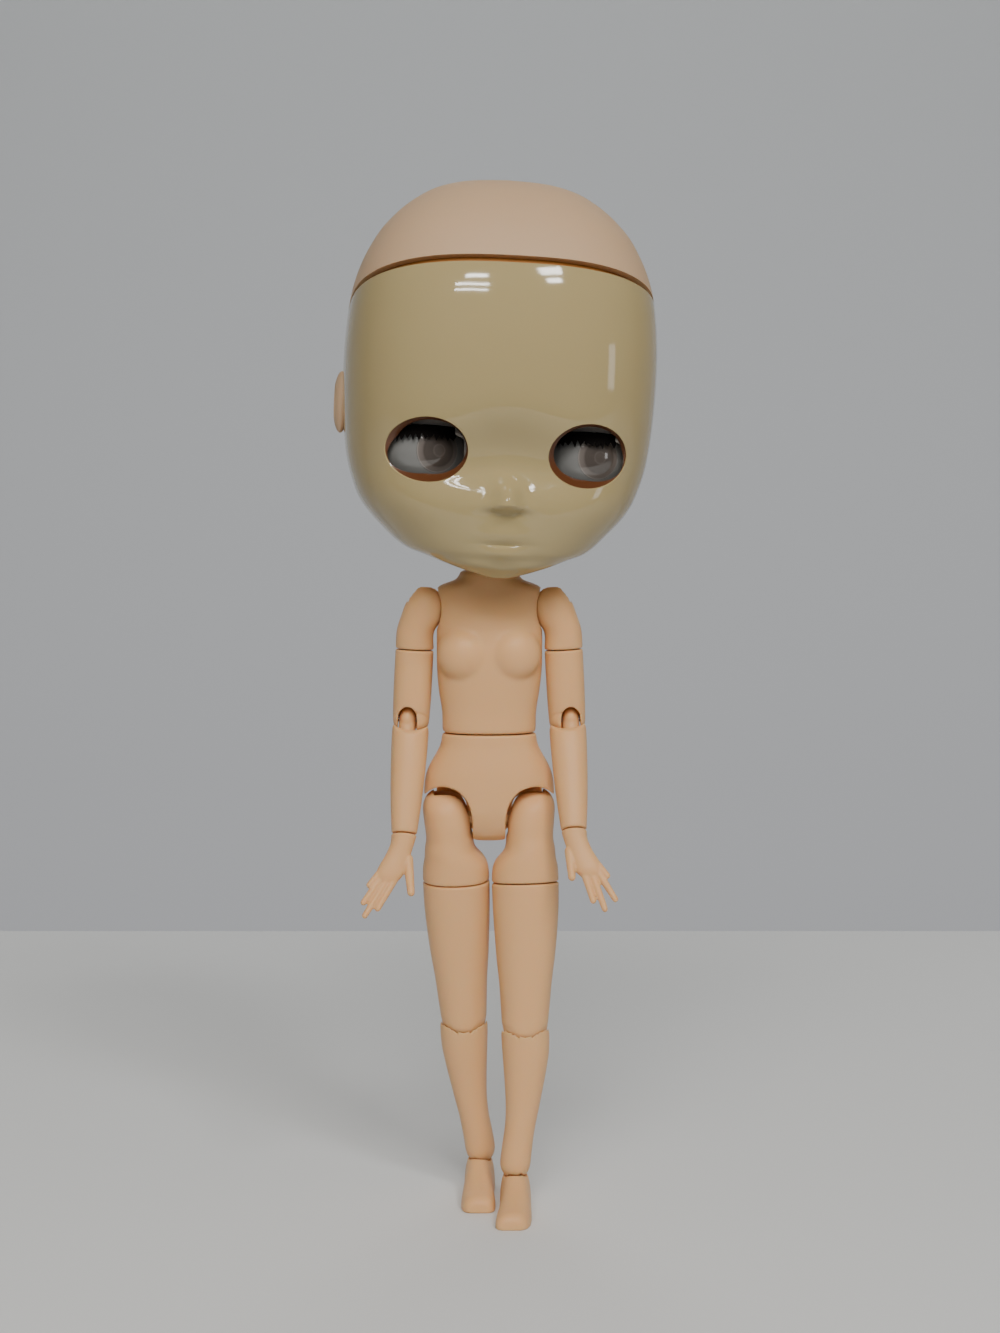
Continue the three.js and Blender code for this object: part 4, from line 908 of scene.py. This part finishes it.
def paintLipGlow(dome, lip):
    # the dome's lip is the dome's own plastic, painted amber where the seam stands open: a painted glow and shade
    dome.data.materials.clear()
    dome.data.materials.append(materials["scalp_plastic"])
    lip.data.materials.clear()
    lip.data.materials.append(materials["lip"])
    combine(dome, "UNION", [lip], "TRANSFER")


def makeHeadShells(settings, eyes):
    place = frameAt(jointAt("neck_nod"), jointAxis("head_turn"), across=jointAxis("eye_turn"))
    place = place @ Matrix.Translation((0, 0, settings["lift"]))
    skull = carveFace(skullShape(settings, 0, 260, 190, 0.55), settings, True)
    hollow = carveFace(skullShape(settings, settings["wall"], 96, 72), settings, False)
    roomTop, roomRadius = settings["neckRoom"]
    holeTop, holeRadius = settings["neckHole"]
    cut(hollow, rod((0, 0, -far), (0, 0, roomTop), roomRadius))
    cut(skull, copyOf(hollow, "hollow"))
    cut(skull, rod((0, 0, -far), (0, 0, holeTop), holeRadius, around=64))
    bpy.context.view_layer.update()
    tools = {name: eyeTool(eyes, name, side, skull) for name, side in (("left", 1), ("right", -1))}
    lower = copyOf(skull, "lower")
    scalpZ, slope, gap = settings["scalpZ"], settings["scalpSlope"], settings["shellGap"]
    cut(lower, aboveSlope(scalpZ - gap, slope))
    rear = copyOf(lower, "rear")
    plane = settings["earPlane"]
    behind, earZ = settings["earPlace"]
    keepWithin(lower, block((-far, -far, -far), (far, plane - gap, far)))
    for side in (-1, 1):
        x, y = side * settings["halfWidth"], plane + behind
        wide, deep, high = settings["ear"]
        bowl = [settings["earBowl"] * size for size in settings["ear"]]
        ear = ball((x, y, earZ), (wide, deep, high), 56)
        cut(ear, ball((x + side * wide, y - 0.5, earZ), bowl, 48))
        combine(rear, "UNION", [ear])
    keepWithin(rear, block((-far, plane + gap, -far), (far, far, far)))
    cordZ, cordRadius = settings["cordHole"]
    cut(rear, hollow, rod((0, 0, cordZ), (0, far, cordZ), cordRadius))
    lower.data.materials.append(materials["face_plastic"])
    for name in tools:
        combine(lower, "DIFFERENCE", [tools[name]], "TRANSFER")
    half = eyes["lidRoomHalf"]
    for side in (-1, 1):
        room = ball((0, 0, 0), (eyes["lidRoom"],) * 3, 96)
        keepWithin(room, block((-half, -far, -far), (half, far, far)))
        room.data.transform(Matrix.Translation((side * eyes["x"], eyes["y"], eyes["z"])))
        cut(lower, room)
    openRise = settings["back"] * math.radians(settings["scalpOpen"])
    keepWithin(skull, aboveSlope(scalpZ + settings["domeGap"] + openRise, slope + settings["scalpOpen"]))
    lipOuter, lipInner, below, above = settings["lip"]
    lip = skullShape(settings, settings["wall"] + lipOuter, 128, 96)
    cut(lip, skullShape(settings, settings["wall"] + lipInner, 96, 72))
    keepWithin(lip, aboveSlope(scalpZ - below, slope))
    cut(lip, aboveSlope(scalpZ + above, slope))
    paintLipGlow(skull, lip)
    finishPiece(lower, place, "head", ["face_plate"], "face_plastic", smoothAngle=38)
    finishPiece(rear, place, "head", ["back_head"], "scalp_plastic", smoothAngle=38)
    finishPiece(skull, place, "head", ["scalp_dome"], "scalp_plastic", smoothAngle=38)


makeHeadShells(head, eyes)
print("head shells made")


# Eyes, lids and lashes, measured from the axle

eyeSet = {
    "ball": 12.8,
    "ballHalfWidth": 11.1,
    "disc": 6.2,
    "discThick": 1.7,
    "discRoom": (0.3, 0.06),  # room under the disc and round it
    "axleRoom": 1.9,
    "lidAxleRoom": 1.95,
    "glance": 18,
    "lidInner": 13.35,
    "lidOuter": 14.35,
    "lidEdges": (27, 165),
    "lidHalfWidth": 11.85,
}


def eyeFrame(side):
    place = frameAt(jointAt("neck_nod"), jointAxis("head_turn"), across=jointAxis("eye_turn"))
    return place @ Matrix.Translation((side * eyes["x"], eyes["y"], eyes["z"] + head["lift"]))


def wedge(radius, low, high, halfWidth):
    # a slice about the axle, with angles measured from the front up
    angles = np.radians(np.linspace(low, high, 28))
    outline = [(0, 0)] + [(radius * math.cos(a), radius * math.sin(a)) for a in angles]
    shape = outlineSlab(outline, -halfWidth, halfWidth)
    shape.data.transform(Matrix(((0, 1, 0, 0), (-1, 0, 0, 0), (0, 0, 1, 0), (0, 0, 0, 1))))
    return shape


def makeEyes(settings):
    radius, disc = settings["ball"], settings["disc"]
    floor = math.sqrt(radius**2 - disc**2) - settings["discThick"]
    for name, side in (("left", 1), ("right", -1)):
        place = eyeFrame(side)
        half = settings["ballHalfWidth"]
        eyeball = keepWithin(ball((0, 0, 0), (radius,) * 3, 96), block((-half, -far, -far), (half, far, far)))
        cut(eyeball, rod((-far, 0, 0), (far, 0, 0), settings["axleRoom"]))
        for stop, glance in enumerate((1, 0, -1, 0)):
            glance = math.radians(settings["glance"] * glance)
            turn = stop * math.pi / 2
            ahead = math.cos(glance)
            look = Vector((math.sin(glance), -ahead * math.cos(turn), ahead * math.sin(turn)))
            roomFloor = floor - settings["discRoom"][0]
            cut(eyeball, rod(look * roomFloor, look * 2 * radius, disc + settings["discRoom"][1], around=64))
            chip = ball((0, 0, 0), (radius,) * 3, 96)
            keepWithin(chip, rod(look * floor, look * 2 * radius, disc, around=64))
            storeRadial(chip, look)
            finishPiece(chip, place, "eyes", [f"{name}_eye_disc_{stop + 1}"], "eye_disc", smoothAngle=40)
        finishPiece(eyeball, place, "eyes", [f"{name}_eyeball"], "eye_white", smoothAngle=40)


def storeRadial(shape, look):
    points = readPoints(shape)
    along = points @ np.array(look)
    away = np.sqrt(np.maximum((points**2).sum(1) - along**2, 0))
    ring = shape.data.attributes.new("fromAxis", "FLOAT", "POINT")
    ring.data.foreach_set("value", away / eyeSet["disc"])


makeEyes(eyeSet)
print("eyeballs made")


lashes = {
    "halfWidth": 8.1,
    "rootZ": 7.0,
    "sag": 0.5,  # mm that the ends of the strip hang lower
    "standOff": 14.85,
    "length": 3.6,
    "ragged": 1.25,
    "thick": 0.16,
    "columns": 170,
    "rows": 8,
    "tufts": 22,
    "lean": (0.25, 0.22),  # by chance, and outwards towards the ends
    "slope": (0.26, 0.95),  # forwards and down
    "seeds": {"left": 11, "right": 5},
}


def makeLids(settings):
    inner, outer = settings["lidInner"], settings["lidOuter"]
    half = settings["lidHalfWidth"]
    hub = math.sqrt(outer**2 - half**2)
    for name, side in (("left", 1), ("right", -1)):
        lid = cut(ball((0, 0, 0), (outer,) * 3, 96), ball((0, 0, 0), (inner,) * 3, 96))
        keepWithin(lid, wedge(2 * outer, *settings["lidEdges"], half))
        for end in (-1, 1):
            combine(lid, "UNION", [rod((end * (half - 0.5), 0, 0), (end * half, 0, 0), hub, around=48)])
        cut(lid, rod((-far, 0, 0), (far, 0, 0), settings["lidAxleRoom"]))
        finishPiece(lid, eyeFrame(side), "eyelids", [f"{name}_eyelid"], "lid_paint", smoothAngle=40)


def makeLashes(settings):
    # a strip of bristles, combed down from the edge of the lid, with uneven ends
    columns, rows = settings["columns"], settings["rows"]
    stray, outwards = settings["lean"]
    forwards, downwards = settings["slope"]
    for name, side in (("left", 1), ("right", -1)):
        chance = np.random.default_rng(settings["seeds"][name])
        bpy.ops.object.select_all(action="DESELECT")
        bpy.ops.mesh.primitive_grid_add(x_subdivisions=columns, y_subdivisions=rows, size=2)
        strip = bpy.context.object
        points = readPoints(strip)
        knots = np.linspace(-1, 1, settings["tufts"])
        jitter = knots + chance.uniform(-0.02, 0.02, knots.size)
        tips = chance.uniform(0.1, 1, knots.size)
        tips[1::2] = chance.uniform(-1, -0.3, tips[1::2].size)
        ragged = np.interp(points[:, 0], jitter, tips) * settings["ragged"]
        lean = np.interp(points[:, 0], jitter, chance.uniform(-stray, stray, knots.size))
        lean += outwards * points[:, 0]
        fall = (1 - points[:, 1]) / 2
        x = points[:, 0] * settings["halfWidth"]
        rootZ = settings["rootZ"] - settings["sag"] * points[:, 0] ** 2
        rootY = -np.sqrt(settings["standOff"] ** 2 - x**2 - rootZ**2)
        length = fall * (settings["length"] + ragged * fall)
        y, z = rootY - forwards * length, rootZ - downwards * length
        writePoints(strip, np.column_stack([x + lean * fall**2, y, z]))
        applyModifier(strip, "SOLIDIFY", thickness=settings["thick"], offset=0)
        finishPiece(strip, eyeFrame(side), "eyelids", [f"{name}_lashes"], "lash_fibre")


makeLids(eyeSet)
makeLashes(lashes)
print("lids and lashes made")


# Neck

neckPost = {
    "ball": 5.4,
    "radius": 5.2,
    "top": 18.85,
    "flange": (17.05, 7.2),  # from z, radius
}


def makeNeck(settings):
    place = frameAt(jointAt("neck_nod"), jointAxis("head_turn"), across=jointAxis("neck_nod"))
    top = (0, 0, settings["top"])
    flangeZ, flange = settings["flange"]
    neck = ball((0, 0, 0), (settings["ball"],) * 3, 64)
    combine(neck, "UNION", [rod((0, 0, 0), top, settings["radius"], around=64),
                            rod((0, 0, flangeZ), top, flange, around=64)])
    finishPiece(neck, place, "neck", ["neck_post"], "body_plastic", smoothAngle=40)


makeNeck(neckPost)
print("neck made")


# Floor, wall and light

studio = {
    "floorBack": 420,  # mm behind the doll, where the floor's edge meets the wall in the picture
    "wallY": 1000,  # far enough that the camera can go round the doll
    "reach": 4000,
    "floorFront": 450,  # mm before the doll
    "floorColour": "#d6d7d6",
    "wallColour": "#e6e9ef",
    "wallFade": (-111, 587),  # mm, from the wall's colour to the colour at its top
    "wallTop": "#bcc0c3",
    "roomLight": ("#dfe3ea", 0.13),
}


def shadeWall(material, settings):
    # the room's light falls off towards the top of the wall
    tree = material.node_tree
    low, top = settings["wallFade"]
    place = addNode(tree, "ShaderNodeNewGeometry")
    parts = addNode(tree, "ShaderNodeSeparateXYZ", None, None, {"Vector": place.outputs["Position"]})
    height = addNode(tree, "ShaderNodeMapRange", None, {"From Min": low * mm, "From Max": top * mm},
                     {"Value": parts.outputs["Z"]})
    fade = addNode(tree, "ShaderNodeValToRGB", None, None, {"Fac": height.outputs["Result"]})
    for element, shade in zip(fade.color_ramp.elements, (settings["wallColour"], settings["wallTop"])):
        element.color = linearColour(shade)
    tree.links.new(fade.outputs["Color"], tree.nodes["Principled BSDF"].inputs["Base Color"])


def makeStage(settings):
    reach = settings["reach"] * mm
    for name, colour, place, turn in [
        ("floor", settings["floorColour"], (0, 0, 0), (0, 0, 0)),
        ("wall", settings["wallColour"], (0, settings["wallY"] * mm, 0), (math.pi / 2, 0, 0)),
    ]:
        bpy.ops.object.select_all(action="DESELECT")
        bpy.ops.mesh.primitive_plane_add(size=2 * reach, location=place, rotation=turn)
        plane = bpy.context.object
        plane.name = name
        plane.data.materials.append(newMaterial(f"matte {name} paint", colour, {"Roughness": 0.8}))
    floor, wall = bpy.data.objects["floor"], bpy.data.objects["wall"]
    points = readPoints(floor)
    points[:, 1] = np.where(points[:, 1] < 0, -settings["floorFront"] * mm, settings["floorBack"] * mm)
    writePoints(floor, points)
    shadeWall(wall.data.materials[0], settings)


lights = [
    # name, place mm, aim mm, size mm, power W, colour, mirrored by gloss
    ("ceilingPanel", (100, -1400, 1150), (0, 0, 150), (1500, 900), 24, "#fffaf2", False),
    ("backFill", (0, 950, 800), (0, 0, 150), (900, 500), 5, "#ffffff", False),
    ("frontFill", (-500, -1600, 600), (0, 0, 150), (1200, 900), 1.5, "#ffffff", False),
    ("leftTubeTop", (10, -1180, 1230), (0, 0, 230), (260, 60), 2, "#ffffff", True),
    ("leftTubeMiddle", (-60, -1253, 1100), (0, 0, 230), (430, 40), 2.2, "#ffffff", True),
    ("leftTubeLow", (-70, -1300, 1010), (0, 0, 230), (430, 30), 1.7, "#ffffff", True),
    ("rightTubeTop", (560, -1000, 1300), (0, 0, 230), (250, 110), 3, "#ffffff", True),
    ("rightTubeLow", (590, -1060, 1160), (0, 0, 230), (170, 70), 1.5, "#ffffff", True),
    ("sideDoor", (1427, -587, 298), (0, 0, 230), (190, 320), 0.6, "#ffffff", True),
]


def makeLights():
    for name, place, aim, size, power, colour, mirrored in lights:
        data = bpy.data.lights.new(name, "AREA")
        data.shape = "RECTANGLE"
        data.size = size[0] * mm
        data.size_y = size[1] * mm
        data.energy = power
        data.color = linearColour(colour)[:3]
        lamp = bpy.data.objects.new(name, data)
        lamp.location = Vector(place) * mm
        lamp.rotation_euler = (Vector(aim) - Vector(place)).to_track_quat("-Z", "Y").to_euler()
        lamp.visible_glossy = mirrored
        lamp.visible_camera = False
        bpy.context.scene.collection.objects.link(lamp)
    world = bpy.data.worlds.new("softRoom")
    bpy.context.scene.world = world
    world.use_nodes = True
    colour, strength = studio["roomLight"]
    world.node_tree.nodes["Background"].inputs["Color"].default_value = linearColour(colour)
    world.node_tree.nodes["Background"].inputs["Strength"].default_value = strength


makeStage(studio)
makeLights()
print("stage lit")
